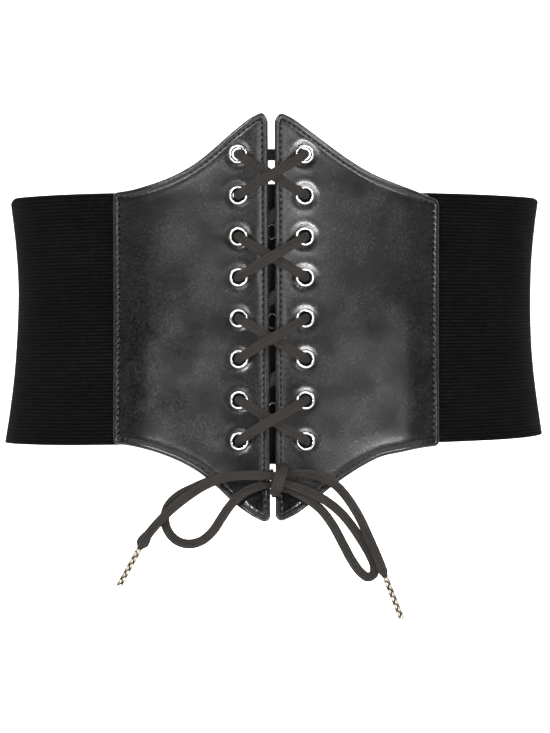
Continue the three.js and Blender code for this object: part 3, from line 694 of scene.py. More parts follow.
class CopyTool(NodeTool):
    """Stands a copy of a small template on every vertex, turned to the directions kept there."""

    def __init__(self) -> None:
        """Builds the tree."""
        super().__init__("CopiesOnPoints")
        for name, kind in (("Template", "NodeSocketObject"), ("Length", "NodeSocketFloat"),
                           ("Thickness", "NodeSocketFloat"), ("Material", "NodeSocketMaterial")):
            self.socket(name, kind)
        given = self.node("NodeGroupInput")
        template = self.node("GeometryNodeObjectInfo", {"Object": given.outputs["Template"]})
        turned = self.node("FunctionNodeAlignRotationToVector",
                           {"Vector": self.attribute("along", "FLOAT_VECTOR")}, axis="X")
        raised = self.node("FunctionNodeAlignRotationToVector",
                           {"Rotation": turned.outputs[0], "Vector": self.attribute("outward", "FLOAT_VECTOR")},
                           axis="Z", pivot_axis="X")
        size = self.node("ShaderNodeCombineXYZ", {0: given.outputs["Length"], 1: given.outputs["Thickness"],
                                                  2: given.outputs["Thickness"]})
        copies = self.node("GeometryNodeInstanceOnPoints", {
            "Points": given.outputs["Geometry"], "Instance": template.outputs["Geometry"],
            "Rotation": raised.outputs[0], "Scale": size.outputs[0]})
        self.finish(copies.outputs[0], given.outputs["Material"])

    def stand(self, name: str, points: np.ndarray, along: np.ndarray, outward: np.ndarray,
              template: bpy.types.Object, finish: Finish, length: float, thickness: float) -> bpy.types.Object:
        """Makes the copies.

        Args:
            name: The new object's name.
            points: Where the copies stand, in millimetres.
            along: Where each copy's X points.
            outward: Where each copy's Z points.
            template: The object to copy; it is removed afterwards by its maker.
            finish: The copies' finish.
            length: The factor along X.
            thickness: The factor across it.

        Returns:
            One joined object.
        """
        made = make_object(name, points, [], finish, values={"along": along, "outward": outward})
        self.run(made, template=template, length=length, thickness=thickness, material=finish.material())
        return made


class RibTool(NodeTool):
    """Raises ribs on a wall by the rib share and the direction that its vertices hold."""

    def __init__(self) -> None:
        """Builds the tree."""
        super().__init__("RaisedRibs")
        self.socket("Height", "NodeSocketFloat")
        self.socket("Material", "NodeSocketMaterial")
        given = self.node("NodeGroupInput")
        height = self.times(self.attribute("rib", "FLOAT"), given.outputs["Height"])
        outward = self.attribute("outward", "FLOAT_VECTOR")
        offset = self.node("ShaderNodeVectorMath", {0: outward, "Scale": height}, operation="SCALE")
        moved = self.node("GeometryNodeSetPosition",
                          {"Geometry": given.outputs["Geometry"], "Offset": offset.outputs[0]})
        self.finish(moved.outputs[0], given.outputs["Material"])


def lathe(profile: Sequence, segments: int) -> tuple:
    """Turns a closed profile of (radius, height) about Z into a ring.

    Args:
        profile: The profile's corners, so that its area lies to the left of its run.
        segments: Steps round the axis.

    Returns:
        The vertices and the faces.
    """
    rows = np.asarray(profile, dtype=float)
    turn = np.arange(segments) / segments * 2 * np.pi
    points = np.stack([rows[None, :, 0] * np.cos(turn)[:, None], rows[None, :, 0] * np.sin(turn)[:, None],
                       np.broadcast_to(rows[None, :, 1], (segments, len(rows)))], axis=2)
    count = len(rows)
    s, r = (grid.ravel() for grid in np.meshgrid(np.arange(segments), np.arange(count), indexing="ij"))
    t, q = (s + 1) % segments, (r + 1) % count
    return points.reshape(-1, 3), np.stack([s * count + r, t * count + r, t * count + q, s * count + q], axis=1)


# The form that every piece lies on


@dataclass(frozen=True)
class Waist:
    """The body that the belt goes round: a squared oval that flares above and below its waist."""

    half_width: float = 133.8
    half_depth: float = 88.0
    level: float = 9.0
    squareness: float = 2.2
    flare_height: float = 61.5
    width_flare: float = 12.7
    depth_flare_above: float = 6.0
    depth_flare_below: float = 8.4

    def size(self, z: np.ndarray) -> tuple:
        """Returns the half width and the half depth at each height."""
        flare = np.hypot(1.0, (z - self.level) / self.flare_height) - 1
        depth = np.where(z > self.level, self.depth_flare_above, self.depth_flare_below)
        return self.half_width + self.width_flare * flare, self.half_depth + depth * flare

    def spot(self, angle: np.ndarray, z: np.ndarray) -> tuple:
        """Returns the point at each angle from the front middle, and the outward direction there."""
        angle, z = np.broadcast_arrays(np.asarray(angle, dtype=float), np.asarray(z, dtype=float))
        across, deep = self.size(z)
        sine, cosine = np.sin(angle), np.cos(angle)
        power = np.abs(sine / across) ** self.squareness + np.abs(cosine / deep) ** self.squareness
        reach = power ** (-1 / self.squareness)
        x, y = reach * sine, -reach * cosine
        slope_x = np.sign(x) * np.abs(x / across) ** (self.squareness - 1) / across
        slope_y = np.sign(y) * np.abs(y / deep) ** (self.squareness - 1) / deep
        size = np.hypot(slope_x, slope_y)
        return np.stack([x, y, z], -1), np.stack([slope_x / size, slope_y / size, np.zeros_like(x)], -1)

    def lifted(self, angle: np.ndarray, z: np.ndarray, lift: np.ndarray) -> np.ndarray:
        """Returns the points at a lift off the body."""
        point, outward = self.spot(angle, z)
        return point + outward * np.asarray(lift, dtype=float)[..., None]

    def front_angle(self, x: np.ndarray, z: np.ndarray, lift: np.ndarray) -> np.ndarray:
        """Returns the angle at which a point lifted off the front is seen at x."""
        across, deep = self.size(np.asarray(z, dtype=float))
        bare = np.asarray(x, dtype=float)
        angle = np.zeros_like(bare)
        for _ in range(4):
            share = np.minimum(1, np.abs(bare / across))
            angle = np.arctan2(bare, deep * (1 - share ** self.squareness) ** (1 / self.squareness))
            bare = x - lift * self.spot(angle, z)[1][..., 0]
        return angle


@dataclass(frozen=True)
class FrontFace:
    """The face of the two front panels, which stands off the body at the lacing."""

    body: Waist = Waist()
    half_height: float = 100.0
    wall: float = 2.2
    elastic_wall: float = 1.2
    clearance: float = 0.3
    backing_wall: float = 1.2
    lace_room: float = 5.5
    reach: float = 66.0
    middle_top: float = -1.5
    middle_bottom: float = -0.6
    gap_top: float = 3.2
    gap_bottom: float = 2.5

    def gap(self, z: np.ndarray) -> tuple:
        """Returns the middle and the half width of the gap at each height."""
        share = (z + self.half_height) / (2 * self.half_height)
        middle = self.middle_bottom + (self.middle_top - self.middle_bottom) * share
        return middle, (self.gap_bottom + (self.gap_top - self.gap_bottom) * share) / 2

    def inside(self, x: np.ndarray, z: np.ndarray) -> np.ndarray:
        """Returns the lift of the panels' inner face."""
        share = np.minimum(1, np.abs(x - self.gap(z)[0]) / self.reach)
        return self.elastic_wall + self.clearance + self.lace_room * np.cos(share * np.pi / 2) ** 2

    def outside(self, x: np.ndarray, z: np.ndarray) -> np.ndarray:
        """Returns the lift of the panels' outer face."""
        return self.inside(x, z) + self.wall

    def point(self, x: np.ndarray, z: np.ndarray, rise: np.ndarray = 0.0) -> np.ndarray:
        """Returns the points seen at x and z at a rise above the outer face."""
        x, z = np.broadcast_arrays(np.asarray(x, dtype=float), np.asarray(z, dtype=float))
        lift = self.outside(x, z) + rise
        return self.body.lifted(self.body.front_angle(x, z, lift), z, lift)

    def spot(self, x: np.ndarray, z: np.ndarray) -> tuple:
        """Returns the points of the outer face and the directions square to it."""
        across = self.point(np.add(x, 1), z) - self.point(np.subtract(x, 1), z)
        up = self.point(x, np.add(z, 1)) - self.point(x, np.subtract(z, 1))
        outward = np.cross(across, up)
        return self.point(x, z), outward / np.linalg.norm(outward, axis=-1, keepdims=True)


FACE = FrontFace()


@dataclass(frozen=True)
class EyeletPlan:
    """Where the eyelets stand, and their sizes."""

    rows: int = 8
    top_row: float = 80.8
    pitch: float = 20.1
    inset: float = 16.3
    hole_radius: float = 3.1
    metal: float = 0.35
    flange_radius: float = 4.65
    flange_rise: float = 0.7
    back_radius: float = 4.25
    back_rise: float = 0.6

    def spot(self, side: Side, row: int) -> tuple:
        """Returns x and z of one eyelet."""
        z = self.top_row - self.pitch * row
        return FACE.gap(z)[0] + side.sign * self.inset, z

    def spots(self, side: Side) -> np.ndarray:
        """Returns x and z of one side's eyelets."""
        return np.array([self.spot(side, row) for row in range(self.rows)])


EYELETS = EyeletPlan()


# The camera and the bow's cords come first


@dataclass(frozen=True)
class Camera:
    """The photograph's view: square to the front, from a little over a metre."""

    distance: float = 1200.0
    front: float = -97.2
    aim_x: float = 0.4
    aim_z: float = -23.3
    lens: float = 120.0

    def build(self) -> None:
        """Makes the camera, level with the belt and tilted down to the frame's middle."""
        data = bpy.data.cameras.new("camera")
        data.lens = self.lens
        data.sensor_width = 36.0
        data.dof.use_dof = False
        data.clip_end = 50.0
        made = add_object("camera", data)
        made.location = Vector((self.aim_x, self.front - self.distance, 0.0)) * MM
        aim = Vector((self.aim_x, self.front, self.aim_z)) * MM
        made.rotation_euler = (aim - made.location).to_track_quat("-Z", "Y").to_euler()
        bpy.context.scene.camera = made


# Routes of the bow's cords as the part's source has them: x and z as seen from the front, and the
# rise above the panels' face.
BOW_ROUTES = {
    "bow_end_left": (
        (1.4, -76.6, 6.7), (-6, -76, 6.9), (-10.2, -75.9, 7.1), (-14.3, -76, 7.2), (-18.1, -76.2, 7.3),
        (-21.7, -76.7, 7.3), (-25.4, -77.6, 7.3), (-29, -78.9, 7.3), (-32.7, -80.6, 7.3),
        (-36.4, -82.6, 7.3), (-40, -85, 7.3), (-43.7, -87.7, 7.3), (-47.4, -90.6, 7.4),
        (-51.1, -93.8, 7.4), (-54.9, -97.6, 7.1), (-58.4, -101.4, 6.6), (-61.1, -104.7, 5.8),
        (-63.3, -107.6, 5), (-66.2, -112.8, 4),
    ),
    "bow_loop_left": (
        (0.8, -80.6, 2.4), (-5, -81.1, 2.6), (-9.9, -82.3, 2.8), (-15.8, -85.5, 3), (-21.2, -90.7, 3.2),
        (-25.6, -97, 3.4), (-30, -103.6, 3.4), (-35.4, -108.3, 3.2), (-41.7, -110, 3),
        (-48.1, -108.3, 2.7), (-52.5, -103.4, 2.4), (-53.8, -97.5, 2.2), (-52, -91.6, 2.2),
        (-47.1, -86.7, 2.3), (-40.3, -83.1, 2.4), (-32.4, -79.6, 2.5), (-22.6, -76.9, 2.5),
        (-11.9, -76.2, 2.5), (1.6, -76.4, 2.4),
    ),
    "bow_end_right": (
        (3.6, -76.3, 2.6), (8.7, -75.4, 2.8), (12, -75.4, 2.9), (15.6, -75.6, 3), (19.1, -76.1, 3.2),
        (22.4, -76.9, 3.4), (25.4, -78.2, 3.7), (28.3, -79.9, 4), (31.1, -82.1, 4.5), (33.7, -84.8, 5),
        (36.2, -88, 5.6), (38.6, -91.6, 6.2), (40.9, -95.4, 6.8), (43, -99.5, 7.2), (45, -103.9, 7.5),
        (47, -108.3, 7.6), (48.8, -112.4, 7.6), (50.6, -116.6, 7.4), (54.3, -126, 6.4),
    ),
    "bow_loop_right": (
        (3.2, -79.4, 6.7), (10.2, -81.3, 6.8), (17.5, -84.3, 6.4), (24.9, -88.4, 5.2), (32.2, -94.3, 4),
        (38.1, -101.4, 3.2), (43, -108.8, 2.8), (46.9, -115.6, 2.7), (49, -121, 2.7), (48.6, -124.8, 2.7),
        (45.9, -126.2, 2.7), (42.4, -123.9, 2.7), (38.1, -118.1, 2.7), (33.7, -110, 2.7),
        (28.8, -100.9, 2.7), (22.9, -93.1, 2.6), (16.1, -87.7, 2.5), (9.7, -84.2, 2.4), (3, -81.8, 2.4),
    ),
}


def smoothstep(value: np.ndarray, low: float, high: float) -> np.ndarray:
    """Returns 0 below low, 1 above high and a smooth rise between."""
    share = np.clip((value - low) / (high - low), 0, 1)
    return share * share * (3 - 2 * share)


def hill(value: np.ndarray, middle: float, width: float) -> np.ndarray:
    """Returns 1 at the middle and a smooth fall to 0 on both sides."""
    return np.exp(-((value - middle) / width) ** 2)


@dataclass(frozen=True)
class CordPlan:
    """Sizes of the cord and of its metal tips."""

    diameter: float = 4.6
    ribs: int = 13
    sides: int = 52
    root: float = 0.78
    swell_left: float = 1.35
    tip: float = 0.6
    draw_in: float = 0.7
    tip_diameter: float = 3.0
    tip_length: float = 22.0
    tip_gap: float = 0.3


CORD = CordPlan()


@dataclass(frozen=True)
class BowCord:
    """One free run of the bow's cord: a loop, or an end that carries a metal tip."""

    name: str
    end: bool

    def line(self, spacing: float = 0.7) -> np.ndarray:
        """Returns the cord's middle line."""
        x, z, rise = np.array(BOW_ROUTES[self.name], dtype=float).T
        return smooth_line(FACE.point(x, z, rise), spacing)[0]

    def build(self, tips: Iterable[bpy.types.Object] = ()) -> None:
        line = self.line()
        run = arc_lengths(line)
        from_tip = run[-1] - run
        blend = smoothstep(from_tip, CORD.diameter, 2 * CORD.diameter)
        near = CORD.root + (1 - CORD.root) * smoothstep(run, CORD.diameter, 2 * CORD.diameter)
        if self.end:
            swell = CORD.swell_left if self.name == "bow_end_left" else 1.0
            far = CORD.tip + (swell - CORD.tip) * smoothstep(from_tip, 0, CORD.diameter * CORD.draw_in)
        else:
            far = CORD.root + (1 - CORD.root) * blend
        radius = CORD.diameter / 2 * (far + (near - far) * blend)
        points, faces, uv = Tube(line, radius, sides=CORD.sides, ribs=CORD.ribs).build()
        made = make_object(f"{self.name}_cord", points, faces, POLYESTER_CORD, uv)
        wear(made, Slot.CORD, self.name)
        log.info("%s: %.0f mm long", self.name, run[-1])


@dataclass(frozen=True)
class MetalTip:
    """The pressed metal tip of a cord, with raised diamonds between two plain rims."""

    side: Side
    segments: int = 48
    rows: int = 150
    repeats: int = 5
    rim: float = 1.1
    rim_ease: float = 0.15
    twist: float = 1.5
    groove_floor: float = 0.28
    groove_top: float = 0.62
    relief: float = 0.28
    rounding: float = 0.35
    rounding_length: float = 0.5

    def build(self) -> bpy.types.Object:
        """Makes the tip so that it carries on from its cord's end."""
        line = BowCord(f"bow_end_{self.side.value}", True).line()
        direction = line[-1] - line[-2]
        direction /= np.linalg.norm(direction)
        start = line[-1] + direction * CORD.tip_gap
        normal = np.cross(direction, [0.0, 1.0, 0.0])
        normal /= np.linalg.norm(normal)
        binormal = np.cross(direction, normal)
        height = np.linspace(0, CORD.tip_length, self.rows)
        turn = np.arange(self.segments) / self.segments * 2 * np.pi
        level, angle = np.meshgrid(height, turn, indexing="ij")
        inner = (level - self.rim) / (CORD.tip_length - 2 * self.rim) * self.repeats
        # Two families of crossing grooves leave the diamonds between them.
        ridges = [np.abs(np.sin(np.pi * inner + way * self.twist * angle)) for way in (1, -1)]
        diamonds = smoothstep(np.minimum(*ridges), self.groove_floor, self.groove_top)
        rims = np.maximum(smoothstep(self.rim - level, -self.rim_ease, self.rim_ease),
                          smoothstep(level - CORD.tip_length + self.rim, -self.rim_ease, self.rim_ease))
        raised = np.maximum(diamonds, rims)
        from_end = np.minimum(level, CORD.tip_length - level)
        round_off = self.rounding * (1 - smoothstep(from_end, 0, self.rounding_length))
        radius = CORD.tip_diameter / 2 - self.relief * (1 - raised) - round_off
        cross = normal * np.cos(angle)[..., None] + binormal * np.sin(angle)[..., None]
        rings = start + direction * level[..., None] + cross * radius[..., None]
        middle = start + direction * height[:, None]
        points, faces, _ = Tube(middle, radius[:, 0], self.segments, 0).skin(rings)
        name = f"aglet_{self.side.value}"
        made = make_object(f"{name}_brass", points, faces, OLD_BRASS, values={"raised": raised.reshape(-1)})
        return wear(made, Slot.OLD_BRASS, name)


@dataclass(frozen=True)
class BowKnot:
    """The turn of cord over the middle of the bow, tucked down to the panels at both ends."""

    x: float = 2.3
    z: float = -78.3
    rise: float = 3.4
    half_height: float = 6.4
    height: float = 8.5
    lean: float = 0.3
    width: float = 5.7
    thickness: float = 3.4
    tuck: float = 0.17
    steps: int = 60

    def build(self) -> None:
        """Makes the band of cord."""
        turn = np.linspace(-self.tuck, np.pi + self.tuck, self.steps)
        down = self.half_height * np.cos(turn)
        line = FACE.point(self.x + self.lean * down, self.z + down, self.rise + self.height * np.sin(turn))
        points, faces, uv = Tube(
            line, np.full(self.steps, self.width / 2), sides=CORD.sides, ribs=CORD.ribs,
            press=np.tile([1.0, 0.0, 0.0], (self.steps, 1)), flat=np.ones(self.steps),
            wide=np.full(self.steps, self.thickness / self.width),
        ).build()
        wear(make_object("bow_knot_cord", points, faces, POLYESTER_CORD, uv), Slot.CORD, "bow_knot")


@dataclass(frozen=True)
class Bow:
    """The bow: its knot, two loops, two ends and their metal tips."""

    def build(self) -> None:
        """Makes every piece of the bow."""
        for side in Side:
            tip = MetalTip(side).build()
            BowCord(f"bow_end_{side.value}", True).build([tip])
            BowCord(f"bow_loop_{side.value}", False).build()
        BowKnot().build()


# The lacing


@dataclass(frozen=True)
class Station:
    """A place that the lacing passes, and how its section is pressed there."""

    point: np.ndarray
    press: np.ndarray
    flat: float
    wide: float


@dataclass(frozen=True)
class Lacing:
    """One cord laced in crosses through both rows of eyelets."""

    pressed_front: float = 3.8
    pressed_back: float = 2.4
    pressed_gap: float = 1.6
    edge_spread: float = 1.3
    exit_left: float = -76.5
    exit_right: float = -84.6
    spread_power: float = -0.35
    aside: float = 0.3
    aside_over: float = 0.55
    aside_under: float = 0.8
    bend: float = 0.55

    def station(self, point: np.ndarray, press: np.ndarray, height: Optional[float]) -> Station:
        """Returns a station pressed to a height, or round."""
        flat = (height or CORD.diameter) / CORD.diameter
        return Station(np.asarray(point), np.asarray(press), flat, flat ** self.spread_power)

    def on_body(self, x: float, z: float, lift: float, height: Optional[float]) -> Station:
        """Returns a station at a lift off the front of the body."""
        angle = FACE.body.front_angle(x, z, lift)
        return self.station(FACE.body.lifted(angle, z, lift), FACE.body.spot(angle, z)[1], height)

    def on_face(self, x: float, z: float, rise: float, height: Optional[float]) -> Station:
        """Returns a station at a rise above the panels' face."""
        point, outward = FACE.spot(x, z)
        return self.station(point + outward * rise, outward, height)

    def crossing(self, start: tuple, end: tuple, stops: Sequence[dict]) -> list:
        """Returns the stations from one eyelet's axis to another's, the same both ways."""
        length = math.hypot(end[0] - start[0], end[1] - start[1])
        near = [{**stop, "share": stop.get("share", stop.get("at", 0) / length)} for stop in stops]
        far = [{**stop, "share": 1 - stop["share"]} for stop in near[:-1]][::-1]
        found = []
        for stop in near + far:
            x = start[0] + (end[0] - start[0]) * stop["share"]
            z = start[1] + (end[1] - start[1]) * stop["share"]
            if "lift" in stop:
                found.append(self.on_body(x, z, stop["lift"], stop.get("height")))
            else:
                found.append(self.on_face(x, z, stop["rise"], stop.get("height")))
        return found

    def front(self, start: tuple, end: tuple, on_top: bool) -> list:
        """Returns a crossing over the panels."""
        hole, clear = EYELETS.hole_radius, FACE.clearance
        shoulder = clear + EYELETS.flange_rise + CORD.diameter / 2 + clear
        low = clear + self.pressed_front / 2
        high = low + self.pressed_front + 2 * clear
        change = (high - shoulder) * self.aside_over if on_top else (low - shoulder) * self.aside_under
        return self.crossing(start, end, [
            {"at": 0, "rise": shoulder - hole + clear},
            {"at": 0.65 * hole, "rise": shoulder - clear},
            {"at": 1.6 * hole, "rise": shoulder},
            {"share": self.aside, "rise": shoulder + change, "height": self.pressed_front},
            {"share": 0.5, "rise": high if on_top else low, "height": self.pressed_front},
        ])

    def bends(self) -> list:
        """Returns the stops close under an eyelet's rolled edge."""
        height = self.bend * CORD.diameter
        behind = -FACE.wall - 3 * FACE.clearance - EYELETS.back_rise
        return [{"at": 0, "rise": -FACE.wall},
                {"at": CORD.diameter / 2, "rise": behind - height / 2, "height": height}]

    def back(self, start: tuple, end: tuple, on_top: bool) -> list:
        """Returns a crossing behind the panels."""
        low = FACE.backing_wall + FACE.clearance + self.pressed_back / 2
        lift = low + self.pressed_back + FACE.clearance if on_top else low
        return self.crossing(start, end, [
            *self.bends(),
            {"share": self.aside, "lift": lift, "height": self.pressed_back},
            {"share": 0.5, "lift": lift, "height": self.pressed_back},
        ])

    def lace_end(self, side: Side) -> list:
        """Returns the run from the gap, on edge, to the last eyelet of a side."""
        spot = EYELETS.spot(side, EYELETS.rows - 1)
        out = self.exit_left if side is Side.LEFT else self.exit_right
        middle = float(FACE.gap(out)[0])
        level = FACE.backing_wall + FACE.clearance + self.pressed_back
        inside = float(FACE.inside(middle, out))

        def on_edge(x: float, lift: float) -> Station:
            """Returns a station in the gap with the cord on edge."""
            flat = self.on_body(x, out, lift, self.pressed_gap)
            return Station(flat.point, np.array([1.0, 0.0, 0.0]), flat.flat, self.edge_spread)

        bends = [self.on_face(spot[0], spot[1] - stop["at"], stop["rise"], stop.get("height"))
                 for stop in self.bends()]
        across, down = spot[0] - middle, spot[1] - out
        return [
            on_edge(middle, inside + FACE.wall - FACE.clearance),
            on_edge(middle, inside),
            on_edge(middle + side.sign * FACE.clearance * 3, inside - self.pressed_back),
            self.on_body(middle + side.sign * 4, out, level, self.pressed_back),
            self.on_body(middle + across * 0.6, out + down * 0.3, level, self.pressed_back),
            self.on_body(spot[0], out + down * 0.7, level, self.pressed_back),
            *bends[::-1],
        ]

    def stations(self) -> list:
        """Returns the whole lacing, up one zigzag to the top bar and down the other."""
        found = self.lace_end(Side.LEFT)
        side = Side.LEFT
        for row in range(EYELETS.rows - 1, 0, -1):
            stretch = self.front if row % 2 else self.back
            found += stretch(EYELETS.spot(side, row), EYELETS.spot(side.other, row - 1), row % 2 == 1)
            side = side.other
        found += self.back(EYELETS.spot(side, 0), EYELETS.spot(side.other, 0), False)
        side = side.other
        for row in range(EYELETS.rows - 1):
            stretch = self.back if row % 2 else self.front
            found += stretch(EYELETS.spot(side, row), EYELETS.spot(side.other, row + 1), row % 2 == 1)
            side = side.other
        found += self.lace_end(Side.RIGHT)[::-1]
        kept = found[:1]
        for station in found[1:]:
            if np.linalg.norm(station.point - kept[-1].point) > FACE.clearance:
                kept.append(station)
        return kept

    def build(self) -> None:
        """Makes the lacing."""
        stations = self.stations()
        line, places = smooth_line(np.array([s.point for s in stations]), 0.85)
        numbers = np.arange(len(stations))
        rows = [[*station.press, station.flat, station.wide] for station in stations]
        columns = [np.interp(places, numbers, column) for column in zip(*rows)]
        points, faces, uv = Tube(line, np.full(len(line), CORD.diameter / 2), sides=CORD.sides, ribs=CORD.ribs,
                                 press=np.stack(columns[:3], 1), flat=columns[3], wide=columns[4]).build()
        log.info("lacing: %.0f mm long", arc_lengths(line)[-1])
        wear(make_object("lacing_cord", points, faces, POLYESTER_CORD, uv), Slot.CORD, "lacing")


# The leather panels


# Heights of the panels' contours as shares of the half height, at shares of the way across, as the
# part's source has them: across, left top, right top, left bottom, right bottom.
PANEL_CONTOUR = (
    (0, 0.964, 0.965, 0.966, 0.96),
    (0.012, 0.99, 0.988, 0.98, 0.975),
    (0.038, 1.008, 1.005, 0.987, 0.983),
    (0.08, 0.997, 0.995, 0.974, 0.97),
    (0.13, 0.974, 0.971, 0.953, 0.949),
    (0.23, 0.914, 0.912, 0.9, 0.892),
    (0.33, 0.848, 0.852, 0.828, 0.829),
    (0.44, 0.78, 0.789, 0.759, 0.767),
    (0.54, 0.732, 0.739, 0.714, 0.718),
    (0.64, 0.696, 0.699, 0.68, 0.68),
    (0.75, 0.667, 0.665, 0.652, 0.661),
    (0.87, 0.643, 0.631, 0.632, 0.643),
    (1, 0.629, 0.591, 0.62, 0.631),
)


@dataclass(frozen=True)
class SeamPlan:
    """The sewn edge of the leather: its rolled rim, its lip, and the stitches in their groove."""

    rim_radius: float = 1.0
    inset: float = 3.0
    lip: float = 0.28
    groove: float = 0.34
    groove_width: float = 0.55
    groove_between: float = 0.4
    pucker: float = 0.04
    pucker_at: float = 1.5
    pucker_width: float = 1.2
    pitch: float = 3.0
    stitch_length: float = 2.1
    thread: float = 0.7
    thread_rise: float = 0.04
    reach: float = 1.2
    slack: float = 0.12


@dataclass(frozen=True)
class FormPlan:
    """What departs from a panel's plain face: heights, lengths and places."""

    plump: float = 0.06
    plump_at: float = 5.2
    plump_width: float = 1.6
    fold: float = 0.12
    fold_length: float = 9.1
    fold_sway: float = 0.6
    fold_sway_length: float = 23.0
    fold_reach: float = 41.0
    swell: float = 0.09
    swell_length: float = 12.5
    swell_slant: float = 31.0
    ripple: float = 0.03
    ripple_length: float = 4.3
    ripple_slant: float = 9.7
    phase_right: float = 1.9
    waves_from: float = 4.0
    waves_full: float = 14.0
    flare: float = 0.27
    flare_from: float = -82.5
    flare_ease: float = 2.0
    flare_inside: float = 12.0
    flare_end: float = 21.0
    proud: float = 1.1
    proud_from: float = 3.0
    proud_full: float = 19.0
    proud_end: float = 52.0
    dent: float = 0.28
    dent_at: float = 4.2
    dent_width: float = 1.6
    ring: float = 0.05
    ring_at: float = 7.4
    ring_width: float = 1.7
    crease: float = 0.06
    crease_slope: float = 0.06
    crease_width: float = 2.8
    crease_from: float = 4.0
    crease_full: float = 8.0
    crease_straight: float = 6.0
    crease_fade: float = 7.0


@dataclass(frozen=True)
class GlossPlan:
    """How wide the painted highlight along the leather's rim is, and where its roughness differs from the rest
    and by how much.
    """

    rub_width: float = 1.1
    seam: float = 0.22
    seam_width: float = 0.9
    seam_eased: float = 0.85
    side_end: float = 6.0
    side_full: float = 10.0
    tip: float = -0.1
    tip_rim: float = 0.03
    tip_from: float = 78.0
    tip_full: float = 84.0
    rim_end: float = 2.5
    rim_full: float = 4.5


SEAM = SeamPlan()
FORM = FormPlan()
GLOSS = GlossPlan()


